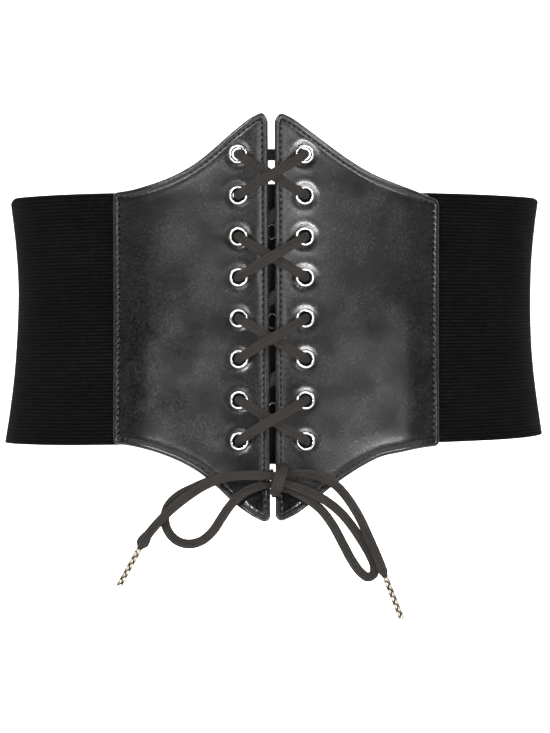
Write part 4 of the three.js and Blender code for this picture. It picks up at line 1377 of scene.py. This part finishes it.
@dataclass(frozen=True)
class Panel:
    """One front panel: leather with a rolled and stitched edge, pressed in round its eyelets."""

    side: Side
    side_edge: float
    corner_radius: float = 2.4
    fine: tuple = (0.0, 0.2, 0.45, 0.75, 1.1, 1.5, 1.9, 2.25, 2.55, 2.8, 3.0, 3.2, 3.45, 3.8, 4.3, 4.9)
    middle_columns: int = 92
    middle_rows: int = 215
    hole_radius: float = 3.9
    inner_slack: float = 0.6

    def contour(self, column: int, across: np.ndarray) -> np.ndarray:
        """Returns a smooth value of one column of the contour table."""
        rows = np.array(PANEL_CONTOUR)
        at = rows[:, 0]
        value = rows[:, column]
        index = np.arange(len(rows))
        low, high = np.maximum(index - 1, 0), np.minimum(index + 1, len(rows) - 1)
        slope = (value[high] - value[low]) / (at[high] - at[low])
        upper = np.clip(np.searchsorted(at, across, side="left"), 1, len(rows) - 1)
        lower = upper - 1
        span = at[upper] - at[lower]
        share = (across - at[lower]) / span
        square, cube = share ** 2, share ** 3
        return ((2 * cube - 3 * square + 1) * value[lower] + (cube - 2 * square + share) * span * slope[lower]
                + (3 * square - 2 * cube) * value[upper] + (cube - square) * span * slope[upper])

    def heights(self, across: np.ndarray) -> tuple:
        """Returns the bottom and the top at shares of the way across."""
        to_edge = (1 - across) * self.side_edge
        inside = np.clip(self.corner_radius - to_edge, 0, None)
        drop = self.corner_radius - np.sqrt(np.clip(self.corner_radius ** 2 - inside ** 2, 0, None))
        top, bottom = (1, 3) if self.side is Side.LEFT else (2, 4)
        return (drop - FACE.half_height * self.contour(bottom, across),
                FACE.half_height * self.contour(top, across) - drop)

    def grid(self) -> tuple:
        """Returns x and z of the grid, its columns from left to right."""
        fine = np.array(self.fine)
        middle = np.linspace(fine[-1], self.side_edge - fine[-1], self.middle_columns)
        offsets = np.concatenate([fine[:-1], middle, self.side_edge - fine[:-1][::-1]])
        across = offsets / self.side_edge
        bottom, top = self.heights(across)
        share = np.linspace(0, 1, self.middle_rows)
        lower = bottom[:, None] + fine[None, :-1]
        upper = top[:, None] - fine[None, :-1][:, ::-1]
        span = bottom[:, None] + fine[-1] + (top - bottom - 2 * fine[-1])[:, None] * share[None, :]
        z = np.concatenate([lower, span, upper], axis=1)
        middle_x, half = FACE.gap(z)
        edge = middle_x + self.side.sign * half
        x = edge + (self.side.sign * self.side_edge - edge) * across[:, None]
        if self.side is Side.LEFT:
            x, z = x[::-1], z[::-1]
        return x, z

    def outline(self, x: np.ndarray, z: np.ndarray) -> np.ndarray:
        """Returns the grid's border as a closed line, anticlockwise as seen from the front."""
        flat = np.stack([x, z], -1)
        return np.concatenate([flat[:-1, 0], flat[-1, :-1], flat[::-1, -1][:-1], flat[0, ::-1][:-1]])

    def edge_distance(self, x: np.ndarray, z: np.ndarray, line: np.ndarray) -> tuple:
        """Returns each point's distance to the outline, and how far along the outline it lies.

        The points are taken some thousands at a time, which keeps the arrays small.
        """
        batch = 3000
        points = np.stack([x.ravel(), z.ravel()], -1)
        following = np.roll(line, -1, axis=0)
        step = following - line
        size = np.linalg.norm(step, axis=1)
        keep = size > 1e-6
        start, step, size = line[keep], step[keep], size[keep]
        run = np.concatenate([[0.0], np.cumsum(size)])[:-1]
        distance = np.empty(len(points))
        place = np.empty(len(points))
        for low in range(0, len(points), batch):
            chunk = points[low:low + batch]
            offset = chunk[:, None] - start[None]
            share = np.clip(np.sum(offset * step[None], 2) / size[None] ** 2, 0, 1)
            away = np.linalg.norm(offset - share[..., None] * step[None], axis=2)
            nearest = np.argmin(away, axis=1)
            rows = np.arange(len(chunk))
            distance[low:low + batch] = away[rows, nearest]
            place[low:low + batch] = run[nearest] + share[rows, nearest] * size[nearest]
        return distance.reshape(x.shape), place.reshape(x.shape)

    def waves(self, x: np.ndarray, z: np.ndarray) -> np.ndarray:
        """Returns the leather's soft waves: upright folds, swells one above the other and small ripples."""
        phase = 0.0 if self.side is Side.LEFT else FORM.phase_right
        sway = FORM.fold_sway * np.sin(z / FORM.fold_sway_length + phase)
        folds = FORM.fold * np.sin(x / FORM.fold_length + sway) * np.cos(z / FORM.fold_reach + phase)
        swells = FORM.swell * np.sin(z / FORM.swell_length + x / FORM.swell_slant + phase)
        return folds + swells + FORM.ripple * np.sin(x / FORM.ripple_length - z / FORM.ripple_slant + 2 * phase)

    def eyelet_marks(self, x: np.ndarray, z: np.ndarray) -> np.ndarray:
        """Returns what one eyelet pulls into the leather round it: a dent, a ring and a crease."""
        away = np.hypot(x, z)
        ring = FORM.ring * hill(away, FORM.ring_at, FORM.ring_width)
        dent = FORM.dent * hill(away, FORM.dent_at, FORM.dent_width)
        beyond = x * self.side.sign
        crease = hill(z, FORM.crease_slope * beyond, FORM.crease_width)
        crease = crease * smoothstep(beyond, FORM.crease_from, FORM.crease_full)
        fade = np.exp(-np.clip(beyond - FORM.crease_straight, 0, None) / FORM.crease_fade)
        return ring - dent - FORM.crease * crease * fade

    def relief(self, x: np.ndarray, z: np.ndarray, distance: np.ndarray,
               under_stitch: np.ndarray) -> np.ndarray:
        """Returns the leather's height over the plain face.

        Args:
            x: The points' places across.
            z: The points' heights.
            distance: Their distances to the outline.
            under_stitch: 1 abreast of a stitch's middle and 0 abreast of the gap between two.

        Returns:
            The height at each point.
        """
        lip = SEAM.lip * np.sin(np.pi * np.clip(distance / SEAM.inset, 0, 1))
        sunk = SEAM.groove_between + (1 - SEAM.groove_between) * under_stitch
        groove = SEAM.groove * hill(distance, SEAM.inset, SEAM.groove_width) * sunk
        pucker = SEAM.pucker * hill(distance - SEAM.inset, SEAM.pucker_at, SEAM.pucker_width) * under_stitch
        plump = FORM.plump * hill(distance, FORM.plump_at, FORM.plump_width)
        height = lip - groove - pucker + plump
        height = height + smoothstep(distance, FORM.waves_from, FORM.waves_full) * self.waves(x, z)
        # The lower tips stand off over the hips.
        below = np.clip(FORM.flare_from - z, 0, None)
        away = np.sqrt(below ** 2 + FORM.flare_ease ** 2) - FORM.flare_ease
        height = height + FORM.flare * away * (1 - smoothstep(np.abs(x), FORM.flare_inside, FORM.flare_end))
        # The main face stands a little proud of a strip along the side edge, which so turns away.
        from_side = self.side_edge - x * self.side.sign
        proud = smoothstep(from_side, FORM.proud_from, FORM.proud_full)
        height = height + FORM.proud * proud * (1 - smoothstep(from_side, FORM.proud_full, FORM.proud_end))
        for at_x, at_z in EYELETS.spots(self.side):
            height = height + self.eyelet_marks(x - at_x, z - at_z)
        return height

    def rim(self, distance: np.ndarray) -> np.ndarray:
        """Returns how far both faces draw in towards the wall's middle near the edge."""
        inside = np.clip(SEAM.rim_radius - distance, 0, None)
        return SEAM.rim_radius - np.sqrt(np.clip(SEAM.rim_radius ** 2 - inside ** 2, 0, None))

    def dullness(self, x: np.ndarray, z: np.ndarray, distance: np.ndarray) -> np.ndarray:
        """Returns what is added to the roughness.

        The stretched tips shine more; their rims and the seams, but for the side's, shine less.
        """
        at_tip = smoothstep(-z, GLOSS.tip_from, GLOSS.tip_full)
        from_rim = smoothstep(distance, GLOSS.rim_end, GLOSS.rim_full)
        in_seam = hill(distance, SEAM.inset, GLOSS.seam_width) * (1 - GLOSS.seam_eased * at_tip)
        off_side = smoothstep(self.side_edge - np.abs(x), GLOSS.side_end, GLOSS.side_full)
        at_tip = at_tip * (GLOSS.tip_rim * (1 - from_rim) + GLOSS.tip * from_rim)
        return GLOSS.seam * in_seam * off_side + at_tip

    def punch(self, x: np.ndarray, z: np.ndarray) -> np.ndarray:
        """Moves the points round each hole onto its circle, and returns which cells of the grid stay."""
        cell_x, cell_z = ((grid[:-1, :-1] + grid[1:, :-1] + grid[1:, 1:] + grid[:-1, 1:]) / 4
                          for grid in (x, z))
        keep = np.ones(cell_x.shape, dtype=bool)
        for at_x, at_z in EYELETS.spots(self.side):
            gone = np.hypot(cell_x - at_x, cell_z - at_z) < self.hole_radius
            keep &= ~gone
            touches_gone, touches_kept = np.zeros((2, *x.shape), dtype=bool)
            for i, j in ((0, 0), (0, 1), (1, 0), (1, 1)):
                touches_gone[i:i + gone.shape[0], j:j + gone.shape[1]] |= gone
                touches_kept[i:i + gone.shape[0], j:j + gone.shape[1]] |= ~gone
            rim = touches_gone & touches_kept
            away = np.hypot(x[rim] - at_x, z[rim] - at_z)
            x[rim] = at_x + (x[rim] - at_x) * self.hole_radius / away
            z[rim] = at_z + (z[rim] - at_z) * self.hole_radius / away
        return keep

    def build(self, copies: CopyTool) -> None:
        """Makes the leather and its stitches."""
        x, z = self.grid()
        line = self.outline(x, z)
        keep = self.punch(x, z)
        distance, place = self.edge_distance(x, z, line)
        total = np.linalg.norm(np.roll(line, -1, axis=0) - line, axis=1).sum()
        pitch = total / round(total / SEAM.pitch)
        height = self.relief(x, z, distance, 0.5 + 0.5 * np.cos(2 * np.pi * place / pitch))
        drawn_in = self.rim(distance)
        lift = FACE.outside(x, z)
        angle = FACE.body.front_angle(x, z, lift)
        outer = FACE.body.lifted(angle, z, lift + height - drawn_in)
        dented = np.minimum(height + self.inner_slack, 0)
        inner = FACE.body.lifted(angle, z, FACE.inside(x, z) + drawn_in + dented)
        # A band along the outer face's rim that the colour turns paler in: painted highlight; the inner face
        # gets none.
        rub = hill(distance, 0.0, GLOSS.rub_width)
        dull = self.dullness(x, z, distance)
        name = f"{self.side.value}_panel"
        made = make_wall(f"{name}_leather", inner, outer, COATED_LEATHER,
                         values={"rub": (0 * rub, rub), "dull": (dull, dull)}, keep=keep)
        wear(made, Slot.LEATHER, name)
        stitches = self.stitches(line, pitch, copies)

    def stitches(self, line: np.ndarray, pitch: float, copies: CopyTool) -> bpy.types.Object:
        """Makes the row of stitches that follows the outline."""
        closed = np.vstack([line, line[:1]])
        run = arc_lengths(closed)
        at = np.arange(round(run[-1] / pitch)) * pitch

        def along_line(distance: np.ndarray) -> np.ndarray:
            """Returns the points of the outline at distances along it."""
            wrapped = np.mod(distance, run[-1])
            return np.stack([np.interp(wrapped, run, closed[:, axis]) for axis in (0, 1)], -1)

        here = along_line(at)
        tangent = along_line(at + SEAM.reach) - along_line(at - SEAM.reach)
        tangent /= np.linalg.norm(tangent, axis=1, keepdims=True)
        inward = np.stack([-tangent[:, 1], tangent[:, 0]], -1)
        spots = here + inward * SEAM.inset
        distance, _ = self.edge_distance(spots[:, 0], spots[:, 1], line)
        keep = distance > SEAM.inset - SEAM.slack
        spots, tangent = spots[keep], tangent[keep]
        base, outward = FACE.spot(spots[:, 0], spots[:, 1])
        ahead = FACE.point(*(spots + tangent * 0.5).T) - FACE.point(*(spots - tangent * 0.5).T)
        ahead /= np.linalg.norm(ahead, axis=1, keepdims=True)
        template = StitchTemplate().build()
        sunk = base - outward * (SEAM.groove - SEAM.thread_rise)
        made = copies.stand(f"{self.side.value}_panel_stitches", sunk, ahead, outward, template,
                            BONDED_THREAD, SEAM.stitch_length, SEAM.thread)
        bpy.data.objects.remove(template)
        return wear(made, Slot.LEATHER)


@dataclass(frozen=True)
class StitchTemplate:
    """One stitch of unit length and thickness, arched, with both ends sunk."""

    steps: int = 6
    sides: int = 6
    sink: float = 2.6

    def build(self) -> bpy.types.Object:
        """Makes the stitch along X with Z up, in metres per unit of millimetre."""
        share = np.linspace(-0.5, 0.5, self.steps + 1)
        line = np.stack([share, np.zeros_like(share), 0.5 - self.sink * np.abs(share * 2) ** 3 * 0.5], -1)
        turn = np.arange(self.sides) / self.sides * 2 * np.pi
        ring = np.stack([np.zeros(self.sides), 0.5 * np.cos(turn), 0.5 * np.sin(turn)], -1)
        rings = line[:, None] + ring[None]
        points, faces, uv = Tube(line, np.ones(len(line)), self.sides, ribs=0).skin(rings)
        return make_object("stitch_template", points, faces, BONDED_THREAD, uv)


# Eyelets and hooks


@dataclass(frozen=True)
class EyeletRow:
    """The eyelets of one side: pressed rings with a rounded flange, a barrel and a rolled back."""

    side: Side
    segments: int = 40
    crown_inset: float = 0.05
    inner_fall: float = 0.8
    rim_round: float = 0.15
    rim_back: float = 0.3
    roll_round: float = 0.1

    def profile(self) -> list:
        """Returns the section of an eyelet as radius and height over its base."""
        hole, flange = EYELETS.hole_radius, EYELETS.flange_radius
        barrel = hole + EYELETS.metal
        back = -FACE.wall - 2 * FACE.clearance
        crown = (hole + flange) / 2 - self.crown_inset
        rise, roll = EYELETS.flange_rise, EYELETS.back_radius
        quarter = np.linspace(0, math.pi / 2, 6)
        arch = [(crown + (flange - crown) * math.cos(turn), rise * math.sin(turn)) for turn in quarter]
        inner = [(crown - (crown - hole) * math.sin(turn), rise - self.inner_fall * (1 - math.cos(turn)))
                 for turn in quarter[1:]]
        # The rolled back, whose corners lie a few tenths off its round.
        rolled = [
            (hole, back - 0.2), (hole + 0.25, back - EYELETS.back_rise + 0.08),
            ((hole + roll) / 2, back - EYELETS.back_rise), (roll - self.roll_round, back - 0.3), (roll, back),
        ]
        under = [(flange - self.rim_round, -self.rim_back - self.rim_round), (flange, -self.rim_back)]
        return [(barrel, -0.1), *under, *arch, *inner, *rolled, (barrel, back)]

    def build(self, copies: CopyTool) -> None:
        """Makes the row of eyelets as one joined piece."""
        points, faces = lathe(self.profile(), self.segments)
        template = make_object("eyelet_template", points, faces, POLISHED_NICKEL)
        x, z = EYELETS.spots(self.side).T
        base, outward = FACE.spot(x, z)
        along = np.cross(outward, [0.0, 0.0, 1.0])
        made = copies.stand(f"eyelets_{self.side.value}", base + outward * FACE.clearance, along, outward,
                            template, POLISHED_NICKEL, 1.0, 1.0)
        bpy.data.objects.remove(template)
        nodes = [f"eyelet_{self.side.value}_{row + 1}" for row in range(EYELETS.rows)]
        wear(made, Slot.NICKEL, *nodes)


@dataclass(frozen=True)
class Hooks:
    """Three wire loops that stand on the strip behind the gap."""

    wire: float = 1.0
    height: float = 8.2
    width: float = 3.2
    pitch: float = 44.0
    middle_level: float = -0.9
    steps: int = 48
    sides: int = 12

    def build(self) -> None:
        """Makes the loops."""
        reach = self.width / 2
        straight = (self.height - self.wire) / 2 - reach
        turn = (np.arange(self.steps) + 0.5) / self.steps * 2 * np.pi
        end = np.where(np.sin(turn) > 0, straight, -straight)
        loop = np.stack([reach * np.cos(turn), np.zeros(self.steps), end + reach * np.sin(turn)], -1)
        lift = FACE.backing_wall + FACE.clearance + self.wire / 2
        radius = np.full(self.steps, self.wire / 2)
        for name, pitches in (("hook_top", 1), ("hook_middle", 0), ("hook_bottom", -1)):
            level = self.middle_level + pitches * self.pitch
            middle = float(FACE.gap(level)[0])
            centre = FACE.body.lifted(FACE.body.front_angle(middle, level, lift), level, lift)
            points, faces, uv = Tube(centre + loop, radius, sides=self.sides, ribs=0, closed=True).build()
            wear(make_object(f"{name}_wire", points, faces, BRIGHT_STEEL, uv), Slot.STEEL, name)


# The elastic and the strip


@dataclass(frozen=True)
class ElasticBand:
    """The wide elastic: ribs along it on both faces, plain edges, worn a little wavy."""

    top: float = 62.8
    bottom: float = -62.0
    left_edge: float = 69.0
    right_edge: float = 71.0
    dip_left: float = 3.0
    rise_right: float = 1.5
    turn_drop_left: float = 2.2
    turn_drop_right: float = 1.0
    turn_width: float = 0.022
    low_wave: float = 0.35
    high_wave: float = 0.3
    ripple: float = 0.3
    ripple_height: float = 17.0
    ripple_spread: float = 29.0
    ease_from: float = 0.02
    ease_full: float = 0.25
    ribs: int = 71
    rows_per_rib: int = 5
    columns: int = 124
    rib_height: float = 0.28
    rib_power: float = 0.7
    inner_ribs: float = 0.4

    def edges(self, angle: np.ndarray) -> tuple:
        """Returns the heights of the two edges at each angle, drawn a little unevenly."""
        sideways = np.sin(angle)
        at_back = np.sin(angle / 2) ** 2
        shift = np.where(sideways > 0, self.rise_right, -self.dip_left) * sideways ** 4
        low = self.bottom + shift + self.low_wave * np.sin(angle * 9.0 + 0.7) * at_back
        high = self.top + self.high_wave * np.sin(angle * 8.0 + 2.1) * at_back
        # The top edge drops where the band turns to the back, more on the left.
        drop = np.where(sideways > 0, self.turn_drop_right, self.turn_drop_left)
        return low, high - drop * (1 - smoothstep(1 - np.abs(sideways), 0.0, self.turn_width))

    def build(self) -> None:
        """Makes the band as a smooth wall, then raises its ribs."""
        body = FACE.body
        start = float(body.front_angle(self.right_edge, 0.0, FACE.elastic_wall))
        end = 2 * np.pi - float(body.front_angle(self.left_edge, 0.0, FACE.elastic_wall))
        angle = np.linspace(start, end, self.columns)
        up = np.linspace(0, 1, self.ribs * self.rows_per_rib + 1)
        low, high = self.edges(angle)
        z = low[:, None] + (high - low)[:, None] * up[None, :]
        turned = np.broadcast_to(angle[:, None], z.shape)
        ripple = (self.ripple * np.sin(turned * 7.0 + z / self.ripple_height)
                  * np.sin(z / self.ripple_spread + turned * 3.0))
        ease = (smoothstep(turned - start, self.ease_from, self.ease_full)
                * smoothstep(end - turned, self.ease_from, self.ease_full))
        wave = np.maximum(ripple, 0) * ease
        outer = body.lifted(turned, z, wave + FACE.elastic_wall)
        outward = body.spot(turned, z)[1]
        rib = 0.5 - 0.5 * np.cos(2 * np.pi * self.ribs * up)
        from_edge = np.minimum(up, 1 - up) * self.ribs
        rib = np.broadcast_to((rib ** self.rib_power * smoothstep(from_edge, 0.0, 0.5))[None, :], z.shape)
        run = arc_lengths(outer[:, len(up) // 2])
        uv = np.stack([np.broadcast_to(run[:, None], z.shape), z], -1)
        # The rib share raises the ribs and also darkens the colour in the hollows and at the plain edges:
        # painted shade.
        made = make_wall("elastic_band_webbing", body.lifted(turned, z, wave), outer, ELASTIC_WEBBING, uv,
                         {"outward": (-outward, outward), "rib": (rib * self.inner_ribs, rib)})
        RibTool().run(made, height=self.rib_height * MM, material=ELASTIC_WEBBING.material())
        wear(made, Slot.ELASTIC, "elastic_band")


@dataclass(frozen=True)
class BackingStrip:
    """The woven strip behind the gap, hemmed at its ends and sewn to the right panel only."""

    top: float = 66.6
    bottom: float = -71.5
    free_edge: float = -20.0
    flat_edge: float = 22.0
    sewn_from: float = 34.0
    sewn_edge: float = 42.0
    columns: int = 70
    rows: int = 170
    hem: float = 7.0
    hem_rise: float = 0.12
    seam: float = 0.2
    seam_at: float = 1.2
    seam_width: float = 0.5
    rim: float = 0.25
    rim_width: float = 1.2

    def build(self) -> None:
        """Makes the strip."""
        x = np.linspace(self.free_edge, self.sewn_edge, self.columns)[:, None]
        z = np.linspace(self.bottom, self.top, self.rows)[None, :]
        x, z = np.broadcast_arrays(x, z)
        sewn = smoothstep((x - self.flat_edge) / (self.sewn_from - self.flat_edge), 0.0, 1.0)
        lift = sewn * (FACE.inside(x, z) - FACE.clearance - FACE.backing_wall)
        angle = FACE.body.front_angle(x, z, lift)
        from_end = np.minimum(z - self.bottom, self.top - z)
        hem = self.hem_rise * smoothstep(self.hem - from_end, -0.3, 0.3)
        seam = self.seam * hill(from_end - self.hem, -self.seam_at, self.seam_width)
        rim = self.rim * (1 - smoothstep(from_end, 0.0, self.rim_width))
        outer = FACE.body.lifted(angle, z, lift + FACE.backing_wall + (hem - seam - rim) * (1 - sewn))
        made = make_wall("backing_strip_tape", FACE.body.lifted(angle, z, lift), outer, POLYESTER_TAPE,
                         np.stack([x, z], -1))
        wear(made, Slot.ELASTIC, "backing_strip")


# The studio


@dataclass(frozen=True)
class SoftBox:
    """A rectangular lamp: its place, size and aim in metres, and its power in watts."""

    name: str
    place: tuple
    size: tuple
    power: float
    aim: tuple = (0.0, -0.05, 0.0)

    def build(self) -> None:
        """Makes the lamp and turns it to its aim."""
        data = bpy.data.lights.new(self.name, "AREA")
        data.shape = "RECTANGLE"
        data.size, data.size_y = self.size
        data.energy = self.power
        made = add_object(self.name, data)
        made.location = self.place
        made.rotation_euler = (Vector(self.aim) - Vector(self.place)).to_track_quat("-Z", "Y").to_euler()


SOFT_BOXES = (
    SoftBox("overhead", place=(0.0, -0.9, 1.3), size=(1.6, 0.8), power=10.0),
    SoftBox("front", place=(0.0, -1.5, 0.0), size=(0.24, 0.12), power=1.4),
    SoftBox("high_left", place=(-0.72, -1.24, 0.45), size=(0.4, 0.14), power=15.0),
    SoftBox("high_right", place=(0.77, -1.22, 0.39), size=(0.34, 0.14), power=10.0),
    SoftBox("low_left", place=(-0.6, -1.35, -0.25), size=(0.24, 0.1), power=3.3),
    SoftBox("low_right", place=(0.37, -1.42, -0.26), size=(0.26, 0.1), power=9.6),
    SoftBox("rear", place=(0.2, 1.6, 1.0), size=(1.4, 0.7), power=16.0),
    SoftBox("backdrop_left", place=(-1.5, 0.4, 0.9), size=(0.8, 0.8), power=22.0, aim=(0.0, 2.2, 0.3)),
    SoftBox("backdrop_right", place=(1.5, 0.4, 0.9), size=(0.8, 0.8), power=22.0, aim=(0.0, 2.2, 0.3)),
)


@dataclass(frozen=True)
class Studio:
    """A white sweep of paper, soft boxes round the belt, and dim light from everywhere, least in front."""

    floor: float = -0.42
    back: float = 1.6
    bend: float = 0.9
    top: float = 4.0
    half_width: float = 9.0
    front: float = -10.0
    world_front: float = 0.06
    world_back: float = 0.6
    world_turn: float = -0.55

    def build(self) -> None:
        """Makes the sweep, the lamps and the world."""
        self.sweep()
        for box in SOFT_BOXES:
            box.build()
        scene = bpy.context.scene
        scene.view_settings.view_transform = "Standard"
        scene.world = bpy.data.worlds.new("studio")
        scene.world.use_nodes = True
        light = Tree(scene.world.node_tree)
        way = light.node("ShaderNodeTexCoord").outputs["Generated"]
        depth = light.node("ShaderNodeSeparateXYZ", {0: way}).outputs[1]
        background = light.tree.nodes["Background"]
        background.inputs["Color"].default_value = linear("#ffffff")
        strength = light.span(depth, self.world_turn, 0.0, self.world_front, self.world_back)
        light.tree.links.new(strength, background.inputs["Strength"])

    def sweep(self) -> None:
        """Makes the floor and the wall behind it as one bent sheet."""
        turn = np.linspace(0, math.pi / 2, 24)
        y = np.concatenate([[self.front], self.back + self.bend * np.sin(turn), [self.back + self.bend]])
        z = np.concatenate([[0.0], self.bend * (1 - np.cos(turn)), [self.top]]) + self.floor
        left = np.stack([np.full_like(y, -self.half_width), y, z], -1)
        right = left * [-1.0, 1.0, 1.0]
        points = np.concatenate([left, right]) / MM
        count = len(y)
        faces = [(i, i + count, i + count + 1, i + 1) for i in range(count - 1)]
        make_object("studio_sweep", points, faces, WHITE_PAPER)


def main() -> None:
    """Builds the camera, the bow and then every other piece."""
    logging.basicConfig(level=logging.INFO, format="%(name)s: %(message)s")
    Camera().build()
    Bow().build()
    Lacing().build()
    copies = CopyTool()
    Panel(Side.LEFT, 80.5).build(copies)
    Panel(Side.RIGHT, 82.5).build(copies)
    for side in Side:
        EyeletRow(side).build(copies)
    Hooks().build()
    ElasticBand().build()
    BackingStrip().build()
    Studio().build()


if __name__ == "__main__":
    main()
